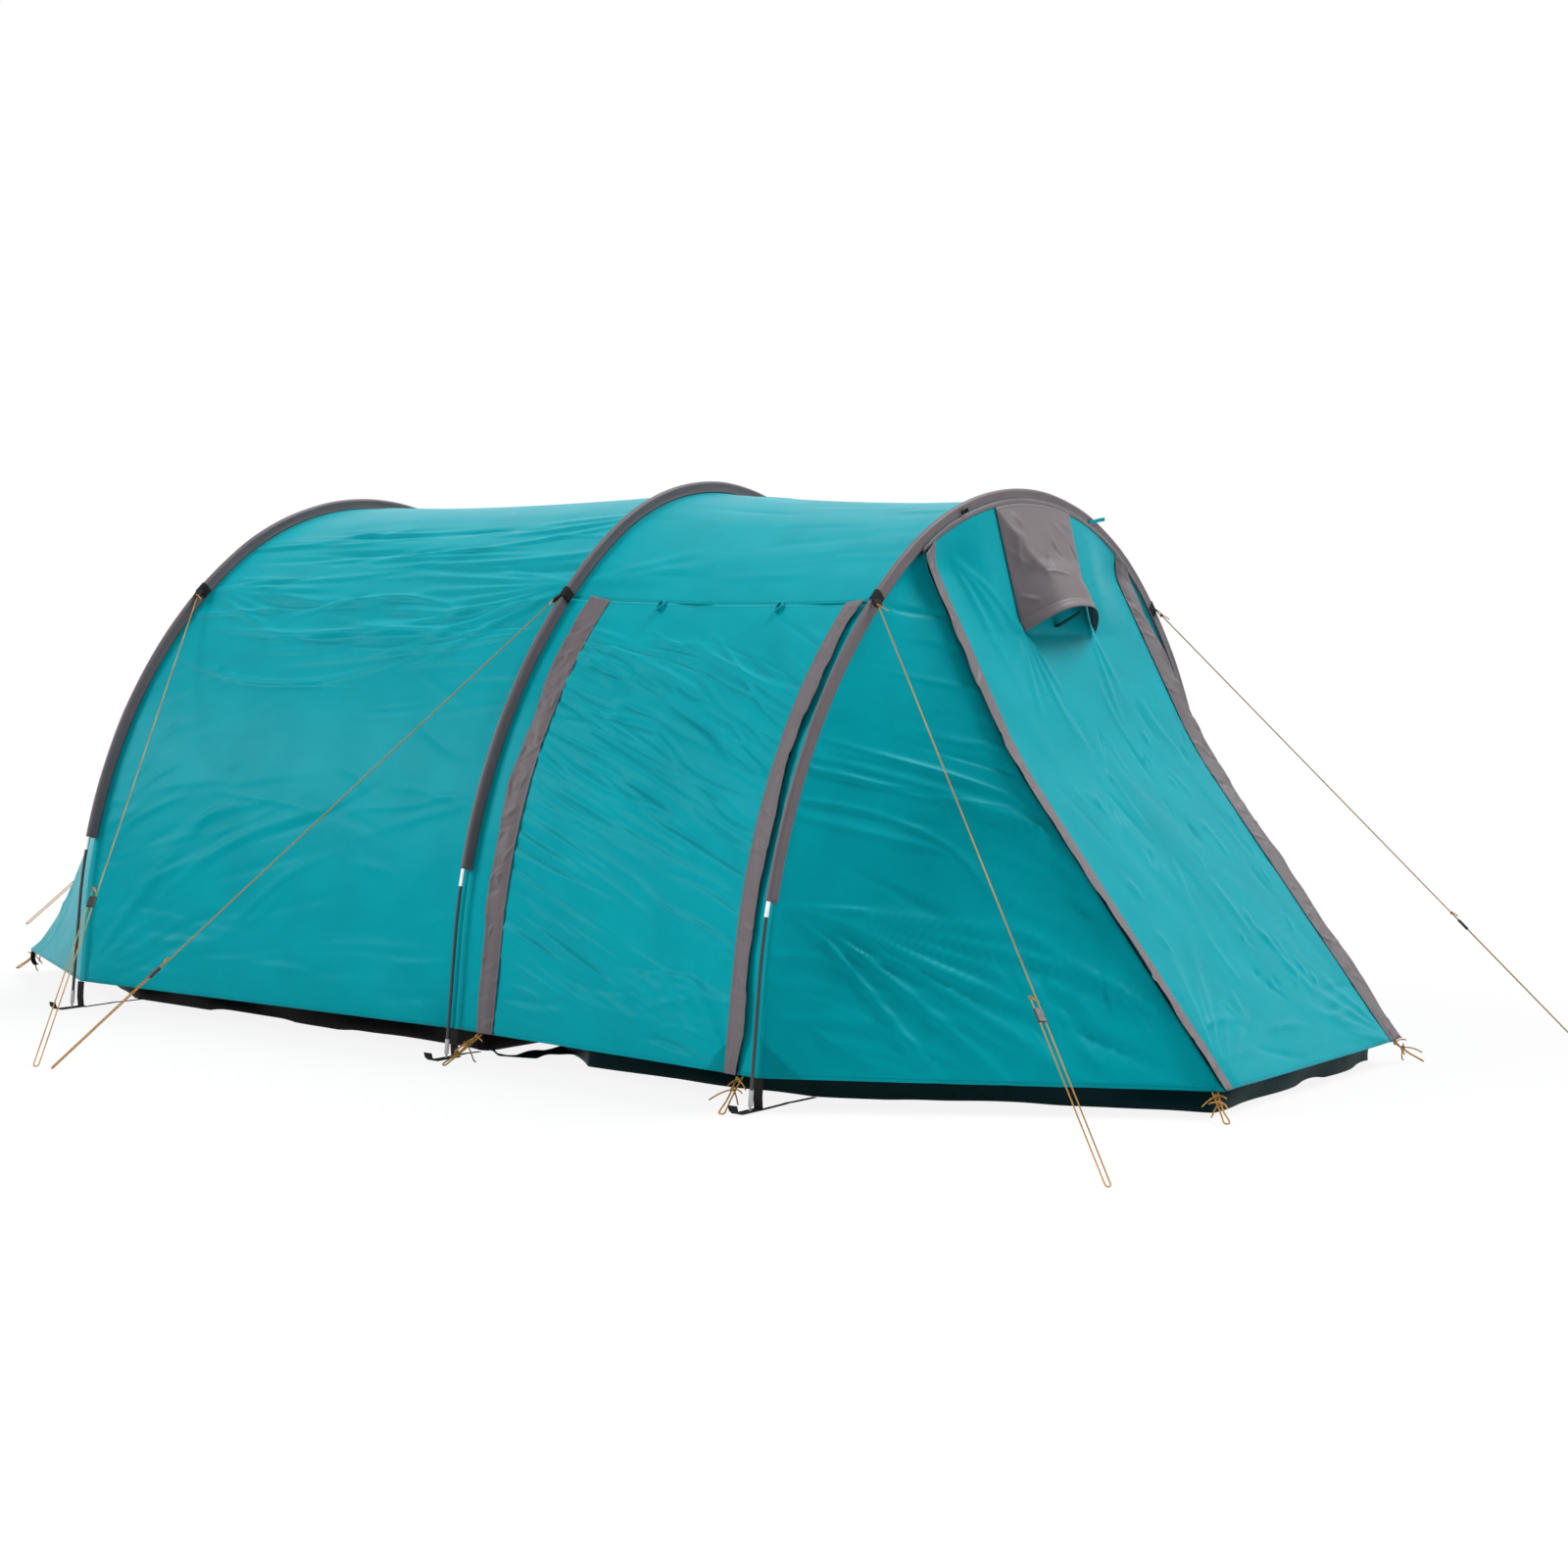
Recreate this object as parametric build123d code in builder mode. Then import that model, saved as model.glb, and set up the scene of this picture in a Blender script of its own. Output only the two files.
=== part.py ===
"""Tunnel tent on three bent pole arches: cabin at the rear, porch with side door and sloping front door.

Millimetres, +Z up, +X towards the front door, the side door faces -Y.
"""

import os
from math import atan2, cos, pi, radians, sin

from build123d import *

os.makedirs("parts", exist_ok=True)

# Plan of the tent, measured along its length
REAR_SLOPE = 660.0
BEDROOM_BAY = 1345.0
PORCH_BAY = 1000.0
FRONT_SLOPE = 855.0
REAR_HALF_WIDTH = 790.0
DOOR_HALF_WIDTH = 490.0

# The pole arches: straight leg, shoulder arc, crown arc
END_HALF_WIDTH = 1172.0
END_HEIGHT = 1466.0
MID_WAIST = 72.0
MID_RISE = 34.0
LEG = 293.0
FOOT_LEAN = 5.2
SHOULDER_LEAN = 53.3

# Poles, each a row of tubes on a shock cord
POLE_DIA = 8.5
POLE_BORE = 3.6
SHOCK_CORD_DIA = 2.5
SECTIONS = 9
POLE_JOINT = 0.3
FERRULE_DIA = 11.0
FERRULE_LENGTH = 64.0
TIP_CAP_LENGTH = 34.0
TIP_CAP_WALL = 1.4
TIP_PIN_DIA = 6.0
TIP_PIN_LENGTH = 14.0
TIP_BASE = 3.0
TIP_LIFT = 0.6

# Cloth, sleeves and flaps
CLOTH = 2.0
CLOTH_DEPTH = 24.0
SLEEVE_WIDTH = 17.0
SLEEVE_WALL = 1.2
SLEEVE_LEG = 478.0
SLEEVE_SEAT = 0.7
HEM = 75.0
FLAP = 55.0
FLAP_SEWN = 12.0
FLAP_LIFT = 4.4
CLEAR = 0.5
SEAT = 0.3

# Side door in the porch bay
SEAM_DROP = 300.0
SIDE_ZIP_REAR = 112.0
SIDE_ZIP_FRONT = 74.0
TIE_SHARE_REAR = 0.25
TIE_SHARE_FRONT = 0.72

# Front door
BEND_DROP = 204.0
BEND_RADIUS = 120.0
KNEE_HEIGHT = 800.0
KNEE_OUT = 254.0
KNEE_RADIUS = 1200.0
FRONT_HEM = 62.0
LEAF_LAP = 5.0

# Zips
ZIP = 8.0
ZIP_GAP = 2.6
SLIDER_LENGTH = 22.0
SLIDER_WALL = 1.5
SLIDER_PLAY = 0.4
PULL_LENGTH = 34.0
PULL_WIDTH = 7.0
SLIDER_REST = 60.0

# Vent on the front door
HOOD_TOP_HALF = 190.0
HOOD_RIM_HALF = 184.0
HOOD_BULGE = 92.0
HOOD_TOP_DROP = 30.0
HOOD_LENGTH = 342.0
HOOD_LIFT = 0.4
HOOD_STEPS = 4
VENT_HALF = 140.0
VENT_HEIGHT = 150.0
VENT_DROP = 90.0
STRUT_WIDTH = 20.0
STRUT_THICK = 3.0
STRUT_LIFT = 0.8

# Floors and inner tent
TUB = 100.0
FLOOR_SHEET = 3.0
FLOOR_INSET = 60.0
FLOOR_REAR_INSET = 90.0
FLOOR_REAR_HALF = 660.0
FLOOR_END_HALF = 915.0
FLOOR_MID_HALF = 955.0
FLOOR_FRONT_HALF = 460.0
FLOOR_JOINT = 6.0
PORCH_TUCK_ALONG = 335.0
PORCH_TUCK_IN = 285.0
INNER_DROP = 95.0
INNER_FRONT_SETBACK = 40.0
INNER_DOOR_HALF = 360.0
INNER_DOOR_RISE = 900.0
INNER_DOOR_SILL = 90.0
INNER_DOOR_LAP = 12.0
HOOK_DIA = 6.0

# Ground fittings
STRAP_WIDTH = 25.0
STRAP_THICK = 3.0
STRAP_IN = 42.0
STRAP_OUT = 62.0
PEG_EYE_DIA = 9.0
PEG_EYE_OUT = 44.0
ELASTIC_WIDTH = 12.0
ELASTIC_THICK = 2.0
PEG_CORD_DIA = 4.0
PEG_LOOP_REAR = 110.0
PEG_LOOP_SIDE = 105.0
PEG_LOOP_FRONT = 62.0
PEG_CORD_SPREAD = 14.0

# Guy lines
GUY_DIA = 3.2
GUY_TURN = 6.5
GUY_TAB_WIDTH = 20.0
GUY_TAB_THICK = 4.0
GUY_TAB_LENGTH = 40.0
RUNNER_LENGTH = 34.0
RUNNER_WIDTH = 20.0
RUNNER_THICK = 7.0
RUNNER_PLAY = 0.5
GUY_PEG_LIFT = 4.0
GUY_TAIL = 26.0
GUY_TAB_RISE = 18.0
GUY_SIDE_OUT = 1850.0
GUY_REAR_ALONG = 705.0
GUY_MIDDLE_ALONG = 757.0
GUY_FRONT_OUT = 1345.0
GUY_FRONT_ALONG = 1020.0
GUY_TAIL_ALONG = 1680.0
GUY_TAIL_SHARE = 0.35
RUNNER_REAR = 0.68
RUNNER_MIDDLE = 0.798
RUNNER_FRONT = 0.73
RUNNER_TAIL = 0.7

# Places along the tent that follow from the plan
TOTAL = REAR_SLOPE + BEDROOM_BAY + PORCH_BAY + FRONT_SLOPE
X_REAR_HEM = -TOTAL / 2
X_REAR = X_REAR_HEM + REAR_SLOPE
X_MID = X_REAR + BEDROOM_BAY
X_FRONT = X_MID + PORCH_BAY
X_FRONT_HEM = X_FRONT + FRONT_SLOPE
MID_HALF_WIDTH = END_HALF_WIDTH - MID_WAIST
MID_HEIGHT = END_HEIGHT + MID_RISE
SEAM_HEIGHT = END_HEIGHT - SEAM_DROP
BEND_HEIGHT = END_HEIGHT - BEND_DROP
SKIN = -CLOTH_DEPTH
SLEEVE_OUT = FERRULE_DIA / 2 + SLEEVE_WALL + SEAT
UNDER = SKIN - CLOTH
X_DOOR_REAR = X_MID + SIDE_ZIP_REAR
X_DOOR_FRONT = X_FRONT - SIDE_ZIP_FRONT


class Arch:
    """Pole line across the tent, walked by length from the near foot over the top to the far foot."""

    def __init__(self, half_width, height, leg=LEG):
        low, high = radians(FOOT_LEAN), radians(SHOULDER_LEAN)
        across = half_width - leg * sin(low)
        rise = height - leg * cos(low)
        run_a, run_b = cos(low) - cos(high), cos(high)
        lift_a, lift_b = sin(high) - sin(low), 1 - sin(high)
        det = run_a * lift_b - run_b * lift_a
        self.shoulder = (across * lift_b - run_b * rise) / det
        self.crown = (run_a * rise - across * lift_a) / det
        self.half_width, self.height, self.leg = half_width, height, leg
        self.low, self.high = low, high
        bend = self.shoulder * (high - low)
        self.half = leg + bend + self.crown * (radians(90) - high)
        self.length = 2 * self.half
        near = [0, leg, leg + bend]
        self.marks = near + [self.length - m for m in reversed(near)]

    def lean(self, s):
        """Lean of the pole from upright at a length along it, on the near half."""
        if s <= self.leg:
            return self.low
        if s <= self.marks[2]:
            return self.low + (s - self.leg) / self.shoulder
        return self.high + (s - self.marks[2]) / self.crown

    def point(self, s, off=0.0):
        """Place (y, z) at a length along the arch, moved outwards by off."""
        if s > self.half:
            y, z = self.point(self.length - s, off)
            return (-y, z)
        a = self.lean(s)
        if s <= self.leg:
            y, z = self.half_width - s * sin(a), s * cos(a)
        else:
            y = self.half_width - self.leg * sin(self.low)
            z = self.leg * cos(self.low)
            b = min(a, self.high)
            y -= self.shoulder * (cos(self.low) - cos(b))
            z += self.shoulder * (sin(b) - sin(self.low))
            if a > self.high:
                y -= self.crown * (cos(self.high) - cos(a))
                z += self.crown * (sin(a) - sin(self.high))
        return (-(y + off * cos(a)), z + off * sin(a))

    def at_height(self, z, off=0.0):
        """Length along the near half at which the line moved out by off is z high."""
        below, above = 0.0, self.half
        for _ in range(60):
            middle = (below + above) / 2
            if self.point(middle, off)[1] < z:
                below = middle
            else:
                above = middle
        return below

    def trace(self, start, end, off=0.0, cuts=None):
        """Draw the line between two lengths, in either direction, cut where it starts or stops bending."""
        low, high = min(start, end), max(start, end)
        inside = self.marks if cuts is None else cuts
        cuts = [low] + [m for m in inside if low + 0.01 < m < high - 0.01] + [high]
        if end < start:
            cuts.reverse()
        for a, b in zip(cuts, cuts[1:]):
            mid = (a + b) / 2
            if max(a, b) <= self.leg + 0.01 or min(a, b) >= self.length - self.leg - 0.01:
                Line(self.point(a, off), self.point(b, off))
            else:
                ThreePointArc(self.point(a, off), self.point(mid, off), self.point(b, off))

    def band(self, start, end, inner, outer, cuts=None):
        """Draw the closed outline of a strip of cloth that follows the arch."""
        self.trace(start, end, outer, cuts)
        Line(self.point(end, outer), self.point(end, inner))
        self.trace(end, start, inner, cuts)
        Line(self.point(start, inner), self.point(start, outer))


def arch_at(x):
    """Arch line at any place between the rear and the front arch."""
    share = (x - X_REAR) / BEDROOM_BAY if x < X_MID else (X_FRONT - x) / PORCH_BAY
    width = END_HALF_WIDTH + (MID_HALF_WIDTH - END_HALF_WIDTH) * share
    height = END_HEIGHT + (MID_HEIGHT - END_HEIGHT) * share
    return Arch(width, height)


def cross(x):
    """Plane across the tent at x, with Y to the right and Z up."""
    return Plane(origin=(x, 0, 0), x_dir=(0, 1, 0), z_dir=(1, 0, 0))


def save(builder, name):
    """Name a piece and write its file."""
    builder.part.label = name
    export_step(builder.part, f"parts/{name}.step")
    print(name, len(builder.part.solids()), round(builder.part.volume))


ARCHES = {
    "rear": (X_REAR, arch_at(X_REAR)),
    "middle": (X_MID, arch_at(X_MID)),
    "front": (X_FRONT, arch_at(X_FRONT)),
}


def tube(x, arch, start, end, outside, bore=0.0):
    """Round rod or tube along part of an arch."""
    with BuildPart() as rod:
        with BuildLine(cross(x)) as path:
            arch.trace(start, end)
        with BuildSketch(Plane(origin=path.line @ 0, z_dir=path.line % 0)):
            Circle(outside / 2)
            if bore:
                Circle(bore / 2, mode=Mode.SUBTRACT)
        sweep(path=path.line)
    return rod.part


# Poles: tubes that meet inside ferrules, a cord through all of them, and a tip at each foot
ferrule_solids = []
cord_solids = []
tip_solids = []
for name, (x, arch) in ARCHES.items():
    first = TIP_LIFT + TIP_PIN_LENGTH + TIP_BASE
    piece = (arch.length - 2 * first) / SECTIONS
    with BuildPart() as rods:
        for i in range(SECTIONS):
            start, end = first + i * piece, first + (i + 1) * piece
            add(tube(x, arch, start + POLE_JOINT / 2, end - POLE_JOINT / 2, POLE_DIA, POLE_BORE))
    save(rods, f"{name}_arch_rods")
    for i in range(1, SECTIONS):
        joint = first + i * piece
        half = FERRULE_LENGTH / 2
        ferrule_solids.append(tube(x, arch, joint - half, joint + half, FERRULE_DIA, POLE_DIA))
    cord_solids.append(tube(x, arch, first, arch.length - first, SHOCK_CORD_DIA))
    for near in (True, False):
        ends = (TIP_LIFT, first - TIP_BASE, first, first + TIP_CAP_LENGTH)
        if not near:
            ends = tuple(arch.length - s for s in ends)
        cap = POLE_DIA + 2 * TIP_CAP_WALL
        with BuildPart() as tip:
            add(tube(x, arch, ends[0], ends[1], TIP_PIN_DIA))
            add(tube(x, arch, ends[1], ends[2], cap))
            add(tube(x, arch, ends[2], ends[3], cap, POLE_DIA))
        tip_solids.append(tip.part)
POLE_GROUPS = {"pole_ferrules": ferrule_solids, "pole_shock_cords": cord_solids, "pole_tips": tip_solids}
for name, solids in POLE_GROUPS.items():
    with BuildPart() as group:
        for solid in solids:
            add(solid)
    save(group, name)

# Sleeves: flat cloth tubes over the upper part of each pole
for name, (x, arch) in ARCHES.items():
    start = arch.at_height(SLEEVE_LEG)
    end = arch.length - start
    inner = SKIN + SLEEVE_SEAT
    with BuildPart() as sleeve:
        with BuildSketch(cross(x - SLEEVE_WIDTH / 2)):
            with BuildLine():
                arch.band(start, end, inner, SLEEVE_OUT)
            make_face()
        extrude(amount=SLEEVE_WIDTH)
        with BuildSketch(cross(x - SLEEVE_WIDTH / 2 + SLEEVE_WALL)):
            with BuildLine():
                arch.band(start - 1, end + 1, inner + SLEEVE_WALL, SLEEVE_OUT - SLEEVE_WALL)
            make_face()
        extrude(amount=SLEEVE_WIDTH - 2 * SLEEVE_WALL, mode=Mode.SUBTRACT)
    save(sleeve, f"{name}_arch_sleeve")


def matched_cuts(arch, other, low, high):
    """Cuts of a strip's outline, as many as on the strip's other end."""
    cuts = []
    for own, its in zip(arch.marks, other.marks):
        start, end = low(arch), high(arch)
        share = (its - low(other)) / (high(other) - low(other))
        if start + 1 < own < end - 1:
            cuts.append(own)
        elif 0 < share < 1 and low(other) + 1 < its < high(other) - 1:
            cuts.append(start + share * (end - start))
    return cuts


def wall(x0, x1, low, high, inner, outer):
    """Cloth stretched between two places along the tent; low and high give its edges on an arch line."""
    arches = (arch_at(x0), arch_at(x1))
    with BuildPart() as cloth:
        for x, arch, other in zip((x0, x1), arches, reversed(arches)):
            start, end = low(arch), high(arch)
            with BuildSketch(cross(x)):
                with BuildLine():
                    arch.band(start, end, inner, outer, matched_cuts(arch, other, low, high))
                make_face()
        loft(ruled=True)
    return cloth


def near_hem(arch):
    """Lower edge of the flysheet on the near side."""
    return arch.at_height(HEM, SKIN)


def far_hem(arch):
    """Lower edge of the flysheet on the far side."""
    return arch.length - near_hem(arch)


def near_seam(arch):
    """Seam above the side door."""
    return arch.at_height(SEAM_HEIGHT, SKIN)


def far_seam(arch):
    """The same seam on the far side."""
    return arch.length - near_seam(arch)


def door_head(arch):
    """Upper edge of the side door, just under the seam."""
    return near_seam(arch) - CLEAR


# Flysheet over the cabin and the porch
save(wall(X_REAR, X_MID, near_hem, far_hem, UNDER, SKIN), "rear_bay_canopy")
save(wall(X_MID, X_FRONT, near_seam, far_seam, UNDER, SKIN), "middle_bay_roof")
save(wall(X_MID, X_FRONT, far_seam, far_hem, UNDER, SKIN), "middle_bay_far_wall")
margin_rear_end = X_DOOR_REAR - ZIP_GAP - ZIP
margin_front_end = X_DOOR_FRONT + ZIP_GAP + ZIP
save(wall(X_MID, margin_rear_end, near_hem, near_seam, UNDER, SKIN), "side_door_rear_margin")
save(wall(margin_front_end, X_FRONT, near_hem, near_seam, UNDER, SKIN), "side_door_front_margin")
with BuildPart() as side_zips:
    add(wall(margin_rear_end, margin_rear_end + ZIP, near_hem, near_seam, UNDER, SKIN).part)
    add(wall(margin_front_end - ZIP, margin_front_end, near_hem, near_seam, UNDER, SKIN).part)
save(side_zips, "side_door_zips")

# Side door with its two storm flaps, a little prouder than the walls beside it
DOOR_SKIN = SKIN + CLEAR
FLAP_UNDER = DOOR_SKIN + FLAP_LIFT
save(wall(X_DOOR_REAR, X_DOOR_FRONT, near_hem, door_head, DOOR_SKIN - CLOTH, DOOR_SKIN), "side_door_panel")
with BuildPart() as side_flaps:
    for edge, way in ((X_DOOR_REAR, 1), (X_DOOR_FRONT, -1)):
        sewn = edge + way * (FLAP / 2 - FLAP_SEWN)
        root = edge + way * FLAP / 2
        free = root - way * FLAP
        over = (min(free, root), max(free, root))
        under = (min(sewn, root), max(sewn, root))
        add(wall(*over, near_hem, door_head, FLAP_UNDER, FLAP_UNDER + CLOTH).part)
        add(wall(*under, near_hem, door_head, DOOR_SKIN, FLAP_UNDER).part)
save(side_flaps, "side_door_flaps")

# Rear end: cloth from the rear arch down to the rear hem
rear_arch = ARCHES["rear"][1]


def ruled_end(plane, arch, start, end, along, inner, outer):
    """Cloth from an arch to a straight edge; along gives the edge's points for a share from 0 to 1."""
    cuts = [start] + [m for m in arch.marks if start < m < end] + [end]
    shares = [(c - start) / (end - start) for c in cuts]
    with BuildPart() as cloth:
        with BuildSketch(plane):
            with BuildLine():
                arch.band(start, end, inner, outer)
            make_face()
        outside = [along(t, 0) for t in shares]
        inside = [along(t, 1) for t in shares]
        loop = outside + inside[::-1]
        edges = [Edge.make_line(a, b) for a, b in zip(loop, loop[1:] + loop[:1])]
        loft(sections=[cloth.pending_faces[0], Face(Wire(edges))], ruled=True)
    return cloth


def rear_edge(share, side):
    """Point on the rear hem, from the near corner to the far corner; the arch's legs draw to the corners."""
    return Vector(X_REAR_HEM + side * CLOTH, -REAR_HALF_WIDTH * cos(pi * share), HEM)


rear_hems = (near_hem(rear_arch), far_hem(rear_arch))
rear_end = ruled_end(cross(X_REAR), rear_arch, *rear_hems, rear_edge, UNDER, SKIN)
save(rear_end, "rear_end_panel")

# Front door: one leaf between two zips, hung under the front sleeve and bent outwards to the front hem
front_arch = ARCHES["front"][1]
X_LEAF = X_FRONT + SLEEVE_WIDTH / 2 + CLEAR + CLOTH
LEAF_RIM = SKIN + LEAF_LAP
leaf_top = END_HEIGHT + LEAF_RIM


def leaf_corners(off):
    """Corners of the leaf's line in X and Z, moved outwards by off."""
    base = [
        (X_LEAF, leaf_top),
        (X_LEAF, BEND_HEIGHT),
        (X_LEAF + KNEE_OUT, KNEE_HEIGHT),
        (X_FRONT_HEM, FRONT_HEM),
    ]
    turns = [atan2(b[0] - a[0], a[1] - b[1]) for a, b in zip(base, base[1:])]
    moved = []
    for i, (x, z) in enumerate(base):
        before, after = turns[max(i - 1, 0)], turns[min(i, len(turns) - 1)]
        middle = (before + after) / 2
        reach = off / cos((after - before) / 2)
        moved.append((x + reach * cos(middle), z + reach * sin(middle)))
    return moved


def leaf_line(off):
    """Draw the leaf's line from the arch to the front hem, moved outwards by off."""
    return FilletPolyline(*leaf_corners(off), radius=[BEND_RADIUS - off, KNEE_RADIUS - off])


with BuildLine(Plane.XZ) as leaf_path:
    leaf_line(0)
leaf_wire = leaf_path.wire()
if leaf_wire.position_at(0).Z < leaf_wire.position_at(1).Z:
    raise ValueError("leaf line runs upwards")
LEAF_LENGTH = leaf_wire.length
SLOPE_DIR = leaf_wire % 1
SLOPE_OUT = Vector(-SLOPE_DIR.Z, 0, SLOPE_DIR.X)


def leaf_place(length):
    """Point on the leaf's outer face at a length down from its top."""
    return leaf_wire.position_at(length / LEAF_LENGTH)


def leaf_sheet(half, side_shift, low, high):
    """Strip of the leaf's own bent shape between two heights above its outer face."""
    with BuildPart() as sheet:
        with BuildSketch(Plane.XZ.offset(half - side_shift)):
            with BuildLine():
                for off in (low, high):
                    leaf_line(off)
                for i in (0, -1):
                    Line(leaf_corners(low)[i], leaf_corners(high)[i])
            make_face()
        extrude(amount=-2 * half)
    return sheet.part


def under_arch():
    """Everything below the front arch line, to trim the leaf to the sleeve."""
    with BuildPart() as room:
        with BuildSketch(cross(X_FRONT - 1)):
            with BuildLine():
                front_arch.trace(0, front_arch.length, LEAF_RIM)
                Line(front_arch.point(front_arch.length, LEAF_RIM), front_arch.point(0, LEAF_RIM))
            make_face()
        extrude(amount=2 * FRONT_SLOPE)
    return room.part


ARCH_ROOM = under_arch()
vent_top = leaf_place(VENT_DROP).Z
with BuildPart() as front_leaf:
    add(leaf_sheet(DOOR_HALF_WIDTH, 0, -CLOTH, 0))
    add(ARCH_ROOM, mode=Mode.INTERSECT)
    with BuildSketch(cross(X_FRONT)):
        with Locations((0, vent_top - VENT_HEIGHT / 2)):
            Rectangle(2 * VENT_HALF, VENT_HEIGHT)
    extrude(amount=FRONT_SLOPE / 2, mode=Mode.SUBTRACT)
save(front_leaf, "front_door_panel")

with BuildPart() as vent_mesh:
    add(leaf_sheet(DOOR_HALF_WIDTH, 0, -CLOTH, 0))
    with BuildSketch(cross(X_FRONT)):
        with Locations((0, vent_top - VENT_HEIGHT / 2)):
            Rectangle(2 * (VENT_HALF - CLEAR / 5), VENT_HEIGHT - CLEAR / 5)
    extrude(amount=FRONT_SLOPE / 2, mode=Mode.INTERSECT)
save(vent_mesh, "vent_mesh")

with BuildPart() as front_flaps:
    for way in (-1, 1):
        root = DOOR_HALF_WIDTH - FLAP / 2
        centre = way * (root + FLAP / 2)
        add(leaf_sheet(FLAP / 2, centre, FLAP_LIFT, FLAP_LIFT + CLOTH))
        add(leaf_sheet(FLAP_SEWN / 2, way * (root + FLAP_SEWN / 2), 0, FLAP_LIFT))
    add(ARCH_ROOM, mode=Mode.INTERSECT)
save(front_flaps, "front_door_flaps")

# Front zips and the wings between the zips, the arch legs and the ground
zip_side = DOOR_HALF_WIDTH + ZIP_GAP
wing_edge = zip_side + ZIP
with BuildPart() as front_zips:
    for way in (-1, 1):
        add(leaf_sheet(ZIP / 2, way * (zip_side + ZIP / 2), -CLOTH, 0))
    add(ARCH_ROOM, mode=Mode.INTERSECT)
save(front_zips, "front_door_zips")
bend_head = leaf_path.edges().sort_by(Axis.Z)[-1].length
wing_top = front_arch.at_height(leaf_place(bend_head).Z, SKIN)
wing_cuts = [
    near_hem(front_arch),
    front_arch.marks[1],
    (front_arch.marks[1] + front_arch.marks[2]) / 2,
    front_arch.marks[2],
    wing_top,
]


def upward(edge):
    """The same line or arc, drawn from its lower end, at the wing's zip edge."""
    low, high = sorted((Vector(*v) for v in edge.vertices()), key=lambda v: v.Z)
    shift = Vector(0, -wing_edge, 0)
    if edge.geom_type == GeomType.LINE:
        return Edge.make_line(low + shift, high + shift)
    return Edge.make_three_point_arc(low + shift, edge @ 0.5 + shift, high + shift)


def leaf_edges(off):
    """Edges of the leaf's line below the arch, from the hem up."""
    with BuildLine(Plane.XZ) as line:
        leaf_line(off)
    return [upward(edge) for edge in line.edges().sort_by(Axis.Z)[: len(wing_cuts) - 1]]


def arch_edges(off):
    """Edges of the front arch's line beside the wing, from the hem up."""
    drawn = []
    for a, b in zip(wing_cuts, wing_cuts[1:]):
        ends = [Vector(X_FRONT, *front_arch.point(s, off)) for s in (a, (a + b) / 2, b)]
        if b <= front_arch.leg:
            drawn.append(Edge.make_line(ends[0], ends[2]))
        else:
            drawn.append(Edge.make_three_point_arc(*ends))
    return drawn


def between(outer, inner):
    """Closed loop of edges: up the outer chain, across, and the inner chain, across."""
    foot = Edge.make_line(outer[0] @ 0, inner[0] @ 0)
    head = Edge.make_line(outer[-1] @ 1, inner[-1] @ 1)
    return outer + inner + [foot, head]


arch_loop = between(arch_edges(SKIN), arch_edges(UNDER))
leaf_loop = between(leaf_edges(0), leaf_edges(-CLOTH))
wing_faces = [Face.make_surface_from_curves(a, b) for a, b in zip(arch_loop, leaf_loop)]
wing_faces += [Face(Wire(arch_loop)), Face(Wire(leaf_loop))]
with BuildPart() as near_wing:
    add(Solid(Shell(wing_faces)))
save(near_wing, "front_near_wing")
with BuildPart() as far_wing:
    add(mirror(near_wing.part, about=Plane.XZ, mode=Mode.PRIVATE))
save(far_wing, "front_far_wing")


def slider(place, along, across, out):
    """Zip slider: two plates joined by a web that runs in the gap, with a pull on the inside."""
    frame = Plane(origin=place, x_dir=across, z_dir=along)
    up = 1 if frame.y_dir.dot(out) > 0 else -1
    depth = CLOTH + 2 * (SLIDER_PLAY + SLIDER_WALL)
    reach = ZIP / 2 + SLIDER_PLAY + SLIDER_WALL
    with BuildPart() as body:
        with BuildSketch(frame):
            with Locations((reach / 2, -up * CLOTH / 2)):
                Rectangle(reach, depth)
            with Locations((ZIP / 4 + SLIDER_PLAY / 2, -up * CLOTH / 2)):
                Rectangle(ZIP / 2 + SLIDER_PLAY, CLOTH + 2 * SLIDER_PLAY, mode=Mode.SUBTRACT)
        extrude(amount=SLIDER_LENGTH)
        low = -up * (CLOTH + SLIDER_PLAY + SLIDER_WALL)
        with BuildSketch(frame.offset(SLIDER_LENGTH / 3)):
            with Locations((reach / 2, low - up * PULL_LENGTH / 2)):
                Rectangle(reach, PULL_LENGTH)
        extrude(amount=PULL_WIDTH)
    return body


leg_along = Vector(0, sin(radians(FOOT_LEAN)), cos(radians(FOOT_LEAN)))
leg_out = Vector(0, -cos(radians(FOOT_LEAN)), sin(radians(FOOT_LEAN)))
for name, x, way in (
    ("side_zip_slider_rear", margin_rear_end + ZIP / 2, 1),
    ("side_zip_slider_front", margin_front_end - ZIP / 2, -1),
):
    y, z = arch_at(x).point(near_hem(arch_at(x)) + SLIDER_REST, SKIN)
    save(slider(Vector(x, y, z), leg_along, Vector(way, 0, 0), leg_out), name)
rest_place = leaf_place(LEAF_LENGTH - SLIDER_REST)
for name, way in (("front_zip_slider_near", -1), ("front_zip_slider_far", 1)):
    place = Vector(rest_place.X, way * (zip_side + ZIP / 2), rest_place.Z)
    save(slider(place, -SLOPE_DIR, Vector(0, -way, 0), SLOPE_OUT), name)

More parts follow.
